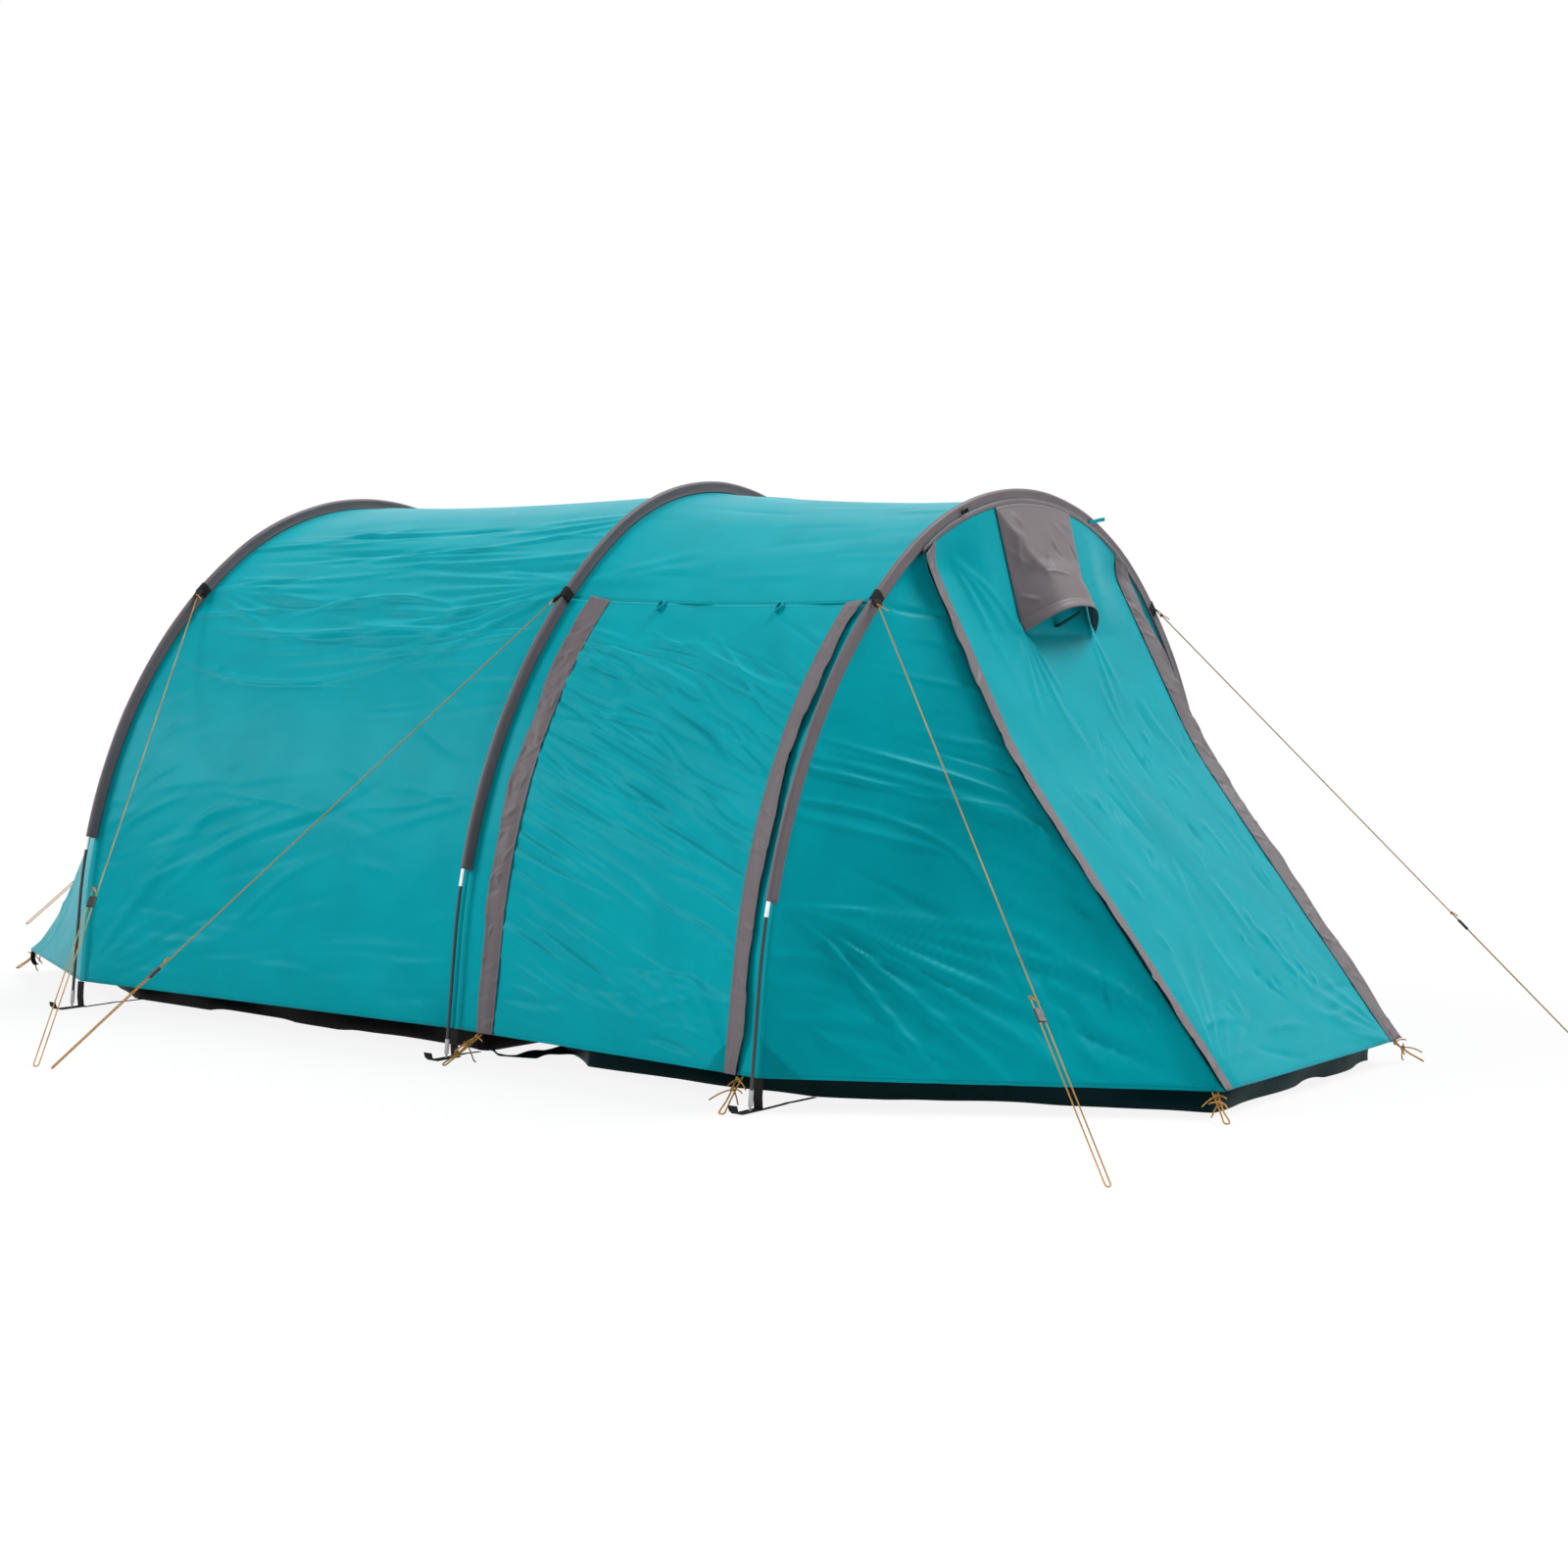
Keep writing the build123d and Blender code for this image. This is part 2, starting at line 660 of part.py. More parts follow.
# Vent hood over the mesh, with its prop
with BuildPart() as hood:
    for i in range(HOOD_STEPS + 1):
        share = i / HOOD_STEPS
        length = HOOD_TOP_DROP + HOOD_LENGTH * share
        tangent = leaf_wire.tangent_at(length / LEAF_LENGTH)
        half = HOOD_TOP_HALF + (HOOD_RIM_HALF - HOOD_TOP_HALF) * share
        rise = CLOTH + HOOD_BULGE * share
        with BuildSketch(Plane(origin=leaf_place(length), x_dir=(0, 1, 0), z_dir=tangent)) as rim:
            out = 1 if rim.workplanes[0].y_dir.X > 0 else -1
            low, high = out * HOOD_LIFT, out * (HOOD_LIFT + CLOTH)
            with BuildLine():
                ThreePointArc((-half, high), (0, high + out * rise), (half, high))
                Line((half, high), (half - CLOTH, low))
                ThreePointArc((half - CLOTH, low), (0, low + out * rise), (-half + CLOTH, low))
                Line((-half + CLOTH, low), (-half, high))
            make_face()
    loft(ruled=True)
save(hood, "vent_hood")
strut_root = leaf_place(HOOD_TOP_DROP + HOOD_LENGTH - STRUT_WIDTH)
strut_reach = HOOD_BULGE * (1 - STRUT_WIDTH / HOOD_LENGTH) + HOOD_LIFT + CLOTH - STRUT_LIFT - 2 * CLEAR
strut_dir = leaf_wire.tangent_at((HOOD_TOP_DROP + HOOD_LENGTH - STRUT_WIDTH) / LEAF_LENGTH)
strut_out = Vector(-strut_dir.Z, 0, strut_dir.X)
with BuildPart() as strut:
    with BuildSketch(Plane(origin=strut_root + strut_out * STRUT_LIFT, x_dir=(0, 1, 0), z_dir=strut_out)):
        Rectangle(STRUT_WIDTH, STRUT_THICK)
    extrude(amount=strut_reach)
save(strut, "vent_strut")

# Floors: a tub for the cabin and one for the porch, whose rear corners are cut back behind the side door
X_FLOOR_REAR = X_REAR_HEM + FLOOR_REAR_INSET
X_FLOOR_FRONT = X_FRONT_HEM - FLOOR_INSET
PORCH_TUCK_HALF = FLOOR_MID_HALF + (FLOOR_END_HALF - FLOOR_MID_HALF) * PORCH_TUCK_ALONG / PORCH_BAY
FLOOR_PLAN = {
    "bedroom_floor": (
        (X_FLOOR_REAR, FLOOR_REAR_HALF), (X_REAR, FLOOR_END_HALF), (X_MID - FLOOR_JOINT, FLOOR_MID_HALF)
    ),
    "porch_floor": (
        (X_MID + FLOOR_JOINT, FLOOR_MID_HALF - PORCH_TUCK_IN),
        (X_MID + FLOOR_JOINT + PORCH_TUCK_ALONG, PORCH_TUCK_HALF),
        (X_FRONT, FLOOR_END_HALF),
        (X_FLOOR_FRONT, FLOOR_FRONT_HALF),
    ),
}
for name, corners in FLOOR_PLAN.items():
    outline = [(x, -half) for x, half in corners] + [(x, half) for x, half in reversed(corners)]
    with BuildPart() as tub:
        with BuildSketch():
            Polygon(*outline, align=None)
        extrude(amount=TUB)
        offset(amount=-FLOOR_SHEET, openings=tub.faces().sort_by(Axis.Z)[-1])
    save(tub, name)

# Inner tent: cabin walls standing on the tub, front wall with a door that swings into the porch
inner_rear = Arch(FLOOR_END_HALF, END_HEIGHT - TUB - INNER_DROP)
inner_mid = Arch(FLOOR_MID_HALF, MID_HEIGHT - TUB - INNER_DROP)
X_INNER_FRONT = X_MID - INNER_FRONT_SETBACK


def above_tub(x):
    """Plane across the tent with its zero on the rim of the tub."""
    return Plane(origin=(x, 0, TUB + CLEAR), x_dir=(0, 1, 0), z_dir=(1, 0, 0))


with BuildPart() as cabin:
    for x, arch in ((X_REAR, inner_rear), (X_INNER_FRONT, inner_mid)):
        with BuildSketch(above_tub(x)):
            with BuildLine():
                arch.band(0, arch.length, -CLOTH, 0)
            make_face()
    loft(ruled=True)
save(cabin, "inner_cabin_walls")


def inner_rear_edge(share, side):
    """Point on the rear rim of the cabin tub."""
    y = -FLOOR_REAR_HALF + 2 * FLOOR_REAR_HALF * share
    return Vector(X_FLOOR_REAR + side * CLOTH, y, TUB + CLEAR)


inner_end = ruled_end(
    above_tub(X_REAR), inner_rear, 0, inner_rear.length, inner_rear_edge, -CLOTH, 0
)
save(inner_end, "inner_rear_panel")
door_mid = INNER_DOOR_SILL + INNER_DOOR_RISE / 2
with BuildPart() as inner_front:
    with BuildSketch(above_tub(X_INNER_FRONT)):
        with BuildLine():
            inner_mid.trace(0, inner_mid.length)
            Line(inner_mid.point(inner_mid.length), inner_mid.point(0))
        make_face()
        with Locations((0, door_mid)):
            RectangleRounded(2 * INNER_DOOR_HALF, INNER_DOOR_RISE, INNER_DOOR_HALF / 3, mode=Mode.SUBTRACT)
    extrude(amount=CLOTH)
save(inner_front, "inner_front_wall")
with BuildPart() as inner_door:
    with BuildSketch(above_tub(X_INNER_FRONT + CLOTH + SEAT)):
        with Locations((0, door_mid)):
            RectangleRounded(
                2 * (INNER_DOOR_HALF + INNER_DOOR_LAP),
                INNER_DOOR_RISE + 2 * INNER_DOOR_LAP,
                INNER_DOOR_HALF / 3 + INNER_DOOR_LAP,
            )
    extrude(amount=CLOTH)
save(inner_door, "inner_door_panel")

# Toggles that hang the cabin from the flysheet under the rear and the middle arch
with BuildPart() as toggles:
    for x, inner, way in ((X_REAR, inner_rear, 1), (X_INNER_FRONT, inner_mid, -1)):
        top = arch_at(x).height + UNDER
        low = TUB + 2 * CLEAR + inner.height
        with Locations((x + way * HOOK_DIA, 0, low)):
            Cylinder(HOOK_DIA / 2, top - low - CLEAR, align=(Align.CENTER, Align.CENTER, Align.MIN))
save(toggles, "inner_tent_toggles")

# Straps at the arch feet with an eye for the pole tip and an eye for a peg, and elastics to the floors
with BuildPart() as foot_straps:
    for x, arch in ARCHES.values():
        for way in (-1, 1):
            foot = arch.half_width
            middle = way * (foot + (STRAP_OUT - STRAP_IN) / 2)
            with BuildSketch():
                with Locations((x, middle)):
                    Rectangle(STRAP_WIDTH, STRAP_IN + STRAP_OUT)
                with Locations((x, way * foot)):
                    Circle(TIP_PIN_DIA / 2 + CLEAR, mode=Mode.SUBTRACT)
                with Locations((x, way * (foot + PEG_EYE_OUT))):
                    Circle(PEG_EYE_DIA / 2, mode=Mode.SUBTRACT)
            extrude(amount=STRAP_THICK)
            hem_side = -arch.point(near_hem(arch), SKIN)[0]
            with Locations((x, way * (hem_side - CLOTH / 2), 0)):
                Box(STRAP_WIDTH, CLOTH, HEM - CLEAR, align=(Align.CENTER, Align.CENTER, Align.MIN))
save(foot_straps, "arch_foot_straps")
FLOOR_AT = {"rear": FLOOR_END_HALF, "middle": FLOOR_MID_HALF, "front": FLOOR_END_HALF}
with BuildPart() as elastics:
    for name, (x, arch) in ARCHES.items():
        shift = FLOOR_JOINT + ELASTIC_WIDTH if name == "middle" else 0
        for way in (-1, 1):
            far = arch.half_width - STRAP_IN
            near = FLOOR_AT[name]
            with BuildSketch():
                with Locations((x - shift, way * (far + near) / 2)):
                    Rectangle(ELASTIC_WIDTH, far - near - CLEAR)
            extrude(amount=ELASTIC_THICK)
save(elastics, "foot_elastics")

# Webbing under the two rear corners of the flysheet, from the hem to the ground
with BuildPart() as corner_straps:
    overhang = (FLAP_LIFT + CLOTH) * SLOPE_OUT.X
    for side in (-1, 1):
        with Locations((X_REAR_HEM - overhang, side * (REAR_HALF_WIDTH - STRAP_WIDTH / 2), 0)):
            Box(overhang + CLOTH, STRAP_WIDTH, HEM - CLEAR, align=(Align.MIN, Align.CENTER, Align.MIN))
save(corner_straps, "rear_corner_straps")

# Cloth loops that hold the rolled doors, sewn on the roof above each door
with BuildPart() as ties:
    for share in (TIE_SHARE_REAR, TIE_SHARE_FRONT):
        x = X_DOOR_REAR + (X_DOOR_FRONT - X_DOOR_REAR) * share
        arch = arch_at(x)
        start = near_seam(arch) + STRAP_THICK
        with BuildSketch(cross(x - STRAP_WIDTH / 4)):
            with BuildLine():
                arch.band(start, start + STRAP_WIDTH, SKIN + SEAT, SKIN + SEAT + CLOTH)
            make_face()
        extrude(amount=STRAP_WIDTH / 2)
save(ties, "door_tie_loops")


def unit(v):
    """Direction of a vector."""
    return v * (1 / v.length)


# Guy lines: tab on the sleeve, cord to the ground and back to a runner
GUY_PEGS = {
    "rear": (X_REAR + GUY_REAR_ALONG, GUY_SIDE_OUT, RUNNER_REAR),
    "middle": (X_REAR + GUY_MIDDLE_ALONG, GUY_SIDE_OUT, RUNNER_MIDDLE),
    "front": (X_FRONT + GUY_FRONT_ALONG, GUY_FRONT_OUT, RUNNER_FRONT),
}
tab_solids = []


def doubled_cord(root, bottom, tail_end, side, turn_radius, dia):
    """Cord down to a peg, round it and back up beside itself to tail_end."""
    toward = unit(bottom - root)
    with BuildPart() as cord:
        with BuildLine() as path:
            down = Line(root, bottom - toward * turn_radius)
            turn = ThreePointArc(
                down @ 1, bottom + side * turn_radius, (down @ 1) + side * (2 * turn_radius)
            )
            Line(turn @ 1, tail_end + side * (2 * turn_radius))
        with BuildSketch(Plane(origin=root, z_dir=toward)):
            Circle(dia / 2)
        sweep(path=path.wire())
    section = cord.part.volume / path.wire().length
    print("cord length", round(path.wire().length, 1), "section", round(section, 3), "turn", turn_radius)
    return cord


def guy(name, start, peg, share, block):
    """Tab, cord and runner of one guy line; block is the sleeve or cloth the tab is sewn on."""
    toward = unit(peg + Vector(0, 0, GUY_PEG_LIFT) - start)
    root = start + toward * GUY_TAB_LENGTH
    level = unit(toward.cross(Vector(0, 0, 1)))
    upright = level.cross(toward)
    with BuildPart() as tab:
        with BuildSketch(Plane(origin=start - toward * GUY_TAB_LENGTH, x_dir=level, z_dir=toward)):
            Rectangle(GUY_TAB_WIDTH, GUY_TAB_THICK)
        extrude(amount=2 * GUY_TAB_LENGTH)
        add(block, mode=Mode.SUBTRACT)
    keep = tab.part.solids().sort_by(lambda s: (s.center() - root).length)[0]
    tab_solids.append(keep)
    bottom = peg + Vector(0, 0, GUY_PEG_LIFT)
    reach = (bottom - root).length
    runner_at = root + toward * (reach * share)
    tail_end = runner_at - toward * GUY_TAIL
    save(doubled_cord(root, bottom, tail_end, level, GUY_TURN, GUY_DIA), f"guy_line_{name}")
    with BuildPart() as runner:
        frame = Plane(origin=runner_at + level * GUY_TURN, x_dir=level, z_dir=toward)
        with BuildSketch(frame):
            RectangleRounded(RUNNER_WIDTH, RUNNER_THICK, RUNNER_THICK / 3)
            with Locations((-GUY_TURN, 0), (GUY_TURN, 0)):
                Circle(GUY_DIA / 2 + RUNNER_PLAY, mode=Mode.SUBTRACT)
        extrude(amount=RUNNER_LENGTH)
    save(runner, f"guy_runner_{name}")
    for word, v in (("toward", toward), ("root", root), ("level", level), ("runner", runner_at)):
        print("guy", name, word, *[round(c, 5) for c in v])


for which, (peg_x, peg_out, share) in GUY_PEGS.items():
    x, arch = ARCHES[which]
    tab_at = arch.at_height(SEAM_HEIGHT + GUY_TAB_RISE, SLEEVE_OUT)
    y, z = arch.point(tab_at, SLEEVE_OUT)
    with BuildPart() as around:
        with BuildSketch(cross(x - SLEEVE_WIDTH / 2)):
            with BuildLine():
                arch.band(tab_at - SLEEVE_LEG / 2, tab_at + SLEEVE_LEG / 2, SKIN * 3, SLEEVE_OUT)
            make_face()
        extrude(amount=SLEEVE_WIDTH)
    for side, way in (("near", -1), ("far", 1)):
        block = around.part if way < 0 else mirror(around.part, about=Plane.XZ, mode=Mode.PRIVATE)
        guy(f"{which}_{side}", Vector(x, -way * y, z), Vector(peg_x, way * peg_out, 0), share, block)

# Tail guy from the middle of the rear end
tail_top = Vector(X_REAR, 0, rear_arch.height + SKIN)
tail_low = Vector(X_REAR_HEM, 0, HEM)
tail_start = tail_top + (tail_low - tail_top) * GUY_TAIL_SHARE
guy("tail", tail_start, Vector(X_REAR - GUY_TAIL_ALONG, 0, 0), RUNNER_TAIL, rear_end.part)
with BuildPart() as tabs:
    for solid in tab_solids:
        add(solid)
save(tabs, "guy_tabs")

# Peg loops at the corners and at the bottom of the side door's zips
rear_loop_y = REAR_HALF_WIDTH - STRAP_WIDTH - PEG_CORD_SPREAD
front_loop_y = wing_edge + PEG_CORD_SPREAD
front_loop_x = X_FRONT_HEM - PEG_CORD_SPREAD - PEG_CORD_DIA
side_rear_y, _ = arch_at(margin_rear_end).point(near_hem(arch_at(margin_rear_end)), SKIN)
side_front_y, _ = arch_at(margin_front_end).point(near_hem(arch_at(margin_front_end)), SKIN)
hem_gap = PEG_CORD_DIA / 2 + CLEAR
loop_slant = PEG_LOOP_SIDE / 4
LOOPS = (
    (Vector(X_REAR_HEM + CLOTH, -rear_loop_y, HEM - hem_gap), Vector(-PEG_LOOP_REAR, 0, 0)),
    (Vector(X_REAR_HEM + CLOTH, rear_loop_y, HEM - hem_gap), Vector(-PEG_LOOP_REAR, 0, 0)),
    (Vector(margin_rear_end - ZIP, side_rear_y, HEM - hem_gap), Vector(-loop_slant, -PEG_LOOP_SIDE, 0)),
    (Vector(margin_front_end + ZIP, side_front_y, HEM - hem_gap), Vector(loop_slant, -PEG_LOOP_SIDE, 0)),
    (Vector(front_loop_x, -front_loop_y, FRONT_HEM - hem_gap), Vector(PEG_LOOP_FRONT, -PEG_LOOP_FRONT, 0)),
    (Vector(front_loop_x, front_loop_y, FRONT_HEM - hem_gap), Vector(PEG_LOOP_FRONT, PEG_LOOP_FRONT, 0)),
)
with BuildPart() as peg_cords:
    for root, away in LOOPS:
        bottom = root + away
        bottom = Vector(bottom.X, bottom.Y, GUY_PEG_LIFT)
        level = unit(unit(bottom - root).cross(Vector(0, 0, 1)))
        first = root - level * PEG_CORD_SPREAD / 2
        end = bottom - level * PEG_CORD_SPREAD / 2
        add(doubled_cord(first, end, first, level, PEG_CORD_SPREAD / 2, PEG_CORD_DIA).part)
save(peg_cords, "peg_cords")
print("frame", X_REAR_HEM, X_REAR, X_MID, X_FRONT, X_FRONT_HEM)
print("leaf", LEAF_LENGTH, SLOPE_DIR, SLOPE_OUT, leaf_top, X_LEAF)
for x in (X_DOOR_REAR, X_DOOR_FRONT):
    arch = arch_at(x)
    print("side door axis", x, arch.point(door_head(arch), DOOR_SKIN))
print("strut", strut_root, strut_out, strut_reach)
print("zip", margin_rear_end, margin_front_end, zip_side, X_INNER_FRONT)
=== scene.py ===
"""Dresses the tunnel tent: cloth with its folds, sleeves, doors, floors, cords and finishes, in a studio."""

from math import cos, pi, radians, sin, tan

import bpy
import numpy as np
from bpy.props import FloatProperty, FloatVectorProperty, PointerProperty
from mathutils import Matrix, Vector


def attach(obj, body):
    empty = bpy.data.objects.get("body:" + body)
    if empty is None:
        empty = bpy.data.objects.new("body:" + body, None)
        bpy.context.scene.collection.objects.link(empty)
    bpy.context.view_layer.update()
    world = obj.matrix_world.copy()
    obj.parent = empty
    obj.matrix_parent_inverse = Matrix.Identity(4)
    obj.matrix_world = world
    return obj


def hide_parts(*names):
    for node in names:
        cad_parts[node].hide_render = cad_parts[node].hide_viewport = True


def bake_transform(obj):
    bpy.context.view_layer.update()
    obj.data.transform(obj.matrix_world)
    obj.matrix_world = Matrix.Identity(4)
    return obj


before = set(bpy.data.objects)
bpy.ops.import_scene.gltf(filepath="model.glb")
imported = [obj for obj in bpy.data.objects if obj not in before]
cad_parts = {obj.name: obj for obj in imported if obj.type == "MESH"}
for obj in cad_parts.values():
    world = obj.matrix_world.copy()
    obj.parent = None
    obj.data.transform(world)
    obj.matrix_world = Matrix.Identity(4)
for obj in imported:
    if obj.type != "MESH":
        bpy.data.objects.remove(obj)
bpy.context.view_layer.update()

bl_info = {
    "name": "Tunnel tent",
    "version": (1, 0, 0),
    "blender": (4, 5, 0),
    "location": "View3D > Sidebar > Tent",
    "description": "Cloth, poles, floors and cords of a tunnel tent on three arches",
    "category": "Object",
}

# Plan and arches, in metres, as in the part's source
REAR_SLOPE, BEDROOM_BAY, PORCH_BAY, FRONT_SLOPE = 0.660, 1.345, 1.000, 0.855
REAR_HALF_WIDTH, DOOR_HALF_WIDTH = 0.790, 0.490
END_HALF_WIDTH, END_HEIGHT = 1.172, 1.466
MID_HALF_WIDTH, MID_HEIGHT = 1.100, 1.500
LEG, FOOT_LEAN, SHOULDER_LEAN = 0.293, radians(5.2), radians(53.3)
SKIN, SLEEVE_OUT, SLEEVE_LEG = -0.024, 0.007, 0.478
HEM, FRONT_HEM, SEAM_HEIGHT = 0.075, 0.062, 1.166
FLAP, CLEAR, CABIN_GIRTH = 0.055, 0.0005, 3.62
SIDE_ZIP_REAR, SIDE_ZIP_FRONT, ZIP, ZIP_GAP = 0.112, 0.074, 0.008, 0.0026
BEND_HEIGHT, BEND_RADIUS = 1.262, 0.120
KNEE_HEIGHT, KNEE_OUT, KNEE_RADIUS = 0.800, 0.254, 1.200
LEAF_RIM, X_LEAF_OUT = -0.019, 0.011
HOOD_TOP_HALF, HOOD_RIM_HALF, HOOD_BULGE = 0.190, 0.184, 0.092
HOOD_DROP, HOOD_LENGTH, HOOD_LIFT, HEAD_BAND = 0.030, 0.342, 0.0024, 0.013
VENT_HALF, VENT_HEIGHT, VENT_DROP = 0.140, 0.150, 0.090
TUB, FLOOR_INSET, FLOOR_REAR_INSET, FLOOR_JOINT = 0.100, 0.060, 0.090, 0.006
FLOOR_REAR_HALF, FLOOR_END_HALF, FLOOR_MID_HALF, FLOOR_FRONT_HALF = 0.660, 0.915, 0.955, 0.460
PORCH_TUCK_ALONG, PORCH_TUCK_IN = 0.335, 0.285
INNER_DROP, INNER_SETBACK = 0.095, 0.040
INNER_DOOR_HALF, INNER_DOOR_RISE, INNER_DOOR_SILL, INNER_DOOR_LAP = 0.360, 0.900, 0.090, 0.012
STRAP_WIDTH, STRAP_IN, STRAP_OUT, PEG_EYE_OUT = 0.025, 0.042, 0.062, 0.044
GUY_TURN, GUY_LIFT, GUY_TAIL, GUY_TAB_RISE, GUY_TAB = 0.0065, 0.004, 0.026, 0.018, 0.040
GUY_TAIL_ALONG, GUY_TAIL_SHARE, RUNNER_TAIL = 1.680, 0.35, 0.7
PEG_SPREAD, PEG_DIA, PEG_REAR, PEG_SIDE, PEG_FRONT = 0.014, 0.004, 0.110, 0.105, 0.062
TIE_SHARES, TIE_WIDTH, LOOP_WIDTH = (0.25, 0.72), 0.010, 0.007
ELASTIC_WIDTH, CORNER_WIDTH, TAB_WIDTH, WRAP_WIDTH = 0.011, 0.016, 0.019, 0.034

X_REAR_HEM = -(REAR_SLOPE + BEDROOM_BAY + PORCH_BAY + FRONT_SLOPE) / 2
X_REAR = X_REAR_HEM + REAR_SLOPE
X_MID = X_REAR + BEDROOM_BAY
X_FRONT = X_MID + PORCH_BAY
X_FRONT_HEM = X_FRONT + FRONT_SLOPE
X_DOOR_REAR = X_MID + SIDE_ZIP_REAR
X_DOOR_FRONT = X_FRONT - SIDE_ZIP_FRONT
SIDE_DOOR_WIDTH, SIDE_DOOR_RUN = X_DOOR_FRONT - X_DOOR_REAR, 1.16
MARGIN_REAR = X_DOOR_REAR - ZIP_GAP - ZIP
MARGIN_FRONT = X_DOOR_FRONT + ZIP_GAP + ZIP
ZIP_SIDE = DOOR_HALF_WIDTH + ZIP_GAP
WING_EDGE = ZIP_SIDE + ZIP
X_INNER = X_MID - INNER_SETBACK

# Guy lines: peg along the tent, peg out from the middle, share of the line above the runner
GUY_PEGS = {
    "rear": (X_REAR + 0.705, 1.850, 0.68),
    "middle": (X_REAR + 0.757, 1.850, 0.798),
    "front": (X_FRONT + 1.020, 1.345, 0.73),
}

# Strewn folds, a row each: seed, count, box as x from and to and y from and to, angle, its spread, length,
# width, height. Fans, a row each: held point, angles in degrees, reach, width, height.
REAR_BAY_CREASES = (
    (3, 34, (0.05, 1.3, 1.02, 1.60), 0.10, 0.07, 0.80, 0.013, 0.0062),
    (5, 24, (0.05, 1.3, 0.85, 1.5), 0.10, 0.12, 0.35, 0.010, 0.0030),
    (7, 26, (0.0, 0.5, 0.42, 0.95), 0.68, 0.20, 0.15, 0.011, 0.0022),
    (9, 26, (0.0, 0.8, 0.10, 0.60), 0.48, 0.12, 0.42, 0.013, 0.0028),
    (11, 18, (0.2, 1.3, 0.02, 0.25), 0.05, 0.07, 0.42, 0.013, 0.0026),
    (13, 16, (0.6, 1.3, 0.25, 0.95), -0.05, 0.25, 0.35, 0.018, 0.0022),
)
REAR_BAY_FANS = (
    ((BEDROOM_BAY, 1.28), (168, 175, 182, 189, 197, 206, 216), 0.7, 0.016, 0.008),
    ((0.0, 1.24), (12, 4, -4, -13, -24), 0.5, 0.016, 0.007),
    ((0.0, 0.0), (8, 17, 27, 38, 52), 0.6, 0.024, 0.005),
    ((BEDROOM_BAY, 0.0), (172, 160, 146), 0.5, 0.024, 0.004),
)
PORCH_ROOF_CREASES = (
    (41, 26, (0.0, 1.0, 0.0, 1.5), 0.06, 0.10, 0.35, 0.012, 0.0024),
)
PORCH_ROOF_FANS = (
    ((0.0, 0.06), (6, 15, 26), 0.45, 0.016, 0.004),
)
FAR_WALL_CREASES = (
    (52, 50, (0.0, 1.0, 0.05, 1.15), -0.40, 0.10, 0.38, 0.013, 0.0044),
)
FAR_WALL_FANS = (
    ((0.0, 0.0), (15, 30, 48), 0.7, 0.03, 0.005),
    ((PORCH_BAY, 0.0), (165, 150, 130), 0.7, 0.03, 0.005),
)
SIDE_DOOR_CREASES = (
    (71, 96, (0.02, 0.80, 0.12, 1.02), -0.37, 0.04, 0.50, 0.0085, 0.0042),
    (73, 20, (0.0, 0.40, 0.80, 1.14), -0.24, 0.05, 0.38, 0.009, 0.0042),
    (75, 18, (0.45, 0.81, 0.75, 1.12), -0.58, 0.07, 0.32, 0.009, 0.0042),
    (77, 16, (0.1, 0.75, 0.02, 0.22), -0.10, 0.12, 0.30, 0.012, 0.0034),
)
SIDE_DOOR_FANS = (
    ((0.0, 1.12), (-14, -24, -33, -44), 0.5, 0.016, 0.004),
    ((SIDE_DOOR_WIDTH, 0.0), (160, 150, 139, 126), 0.45, 0.018, 0.005),
)
REAR_END_CREASES = (
    (91, 60, (0.05, 0.85, 0.2, 3.4), 0.20, 0.25, 0.40, 0.014, 0.0040),
)
REAR_END_FANS = (
    ((0.0, 0.0), (70, 55, 40, 25), 0.7, 0.03, 0.005),
    ((0.0, 3.6), (-70, -55, -40, -25), 0.7, 0.03, 0.005),
)
FRONT_DOOR_CREASES = (
    (121, 46, (-0.36, 0.42, 0.18, 0.98), 1.45, 0.30, 0.075, 0.012, 0.0034),
    (123, 16, (-0.36, 0.40, 0.30, 1.10), 1.75, 0.20, 0.20, 0.016, 0.0032),
    (125, 12, (-0.40, 0.40, 0.03, 0.20), 0.05, 0.15, 0.20, 0.012, 0.0034),
)
FRONT_DOOR_FANS = (
    ((-DOOR_HALF_WIDTH, 0.0), (10, 20, 31, 43, 56, 70), 0.5, 0.020, 0.006),
    ((DOOR_HALF_WIDTH, 0.0), (170, 158, 144, 128), 0.45, 0.020, 0.005),
    ((-0.18, 1.31), (-96, -84, -108, -72), 0.35, 0.012, 0.005),
    ((0.18, 1.31), (-84, -100), 0.35, 0.012, 0.004),
    ((-0.40, 1.50), (-60, -48, -76), 0.5, 0.018, 0.004),
)
WING_CREASES = (
    (161, 46, (0.05, 0.85, 0.12, 0.80), -0.36, 0.05, 0.55, 0.009, 0.0042),
    (163, 18, (0.0, 0.45, 0.65, 1.20), -0.30, 0.07, 0.34, 0.009, 0.0026),
    (165, 14, (0.0, 0.70, 0.10, 0.40), -0.10, 0.08, 0.40, 0.010, 0.0028),
    (167, 12, (0.5, 0.95, 0.05, 0.30), -0.75, 0.20, 0.18, 0.011, 0.0036),
)
WING_FANS = (
    ((0.0, 0.47), (-8, -13, -18, -23, -28, -35, -44), 1.0, 0.012, 0.008),
)

SIDES = (("near", -1), ("far", 1))
FINISH = {}


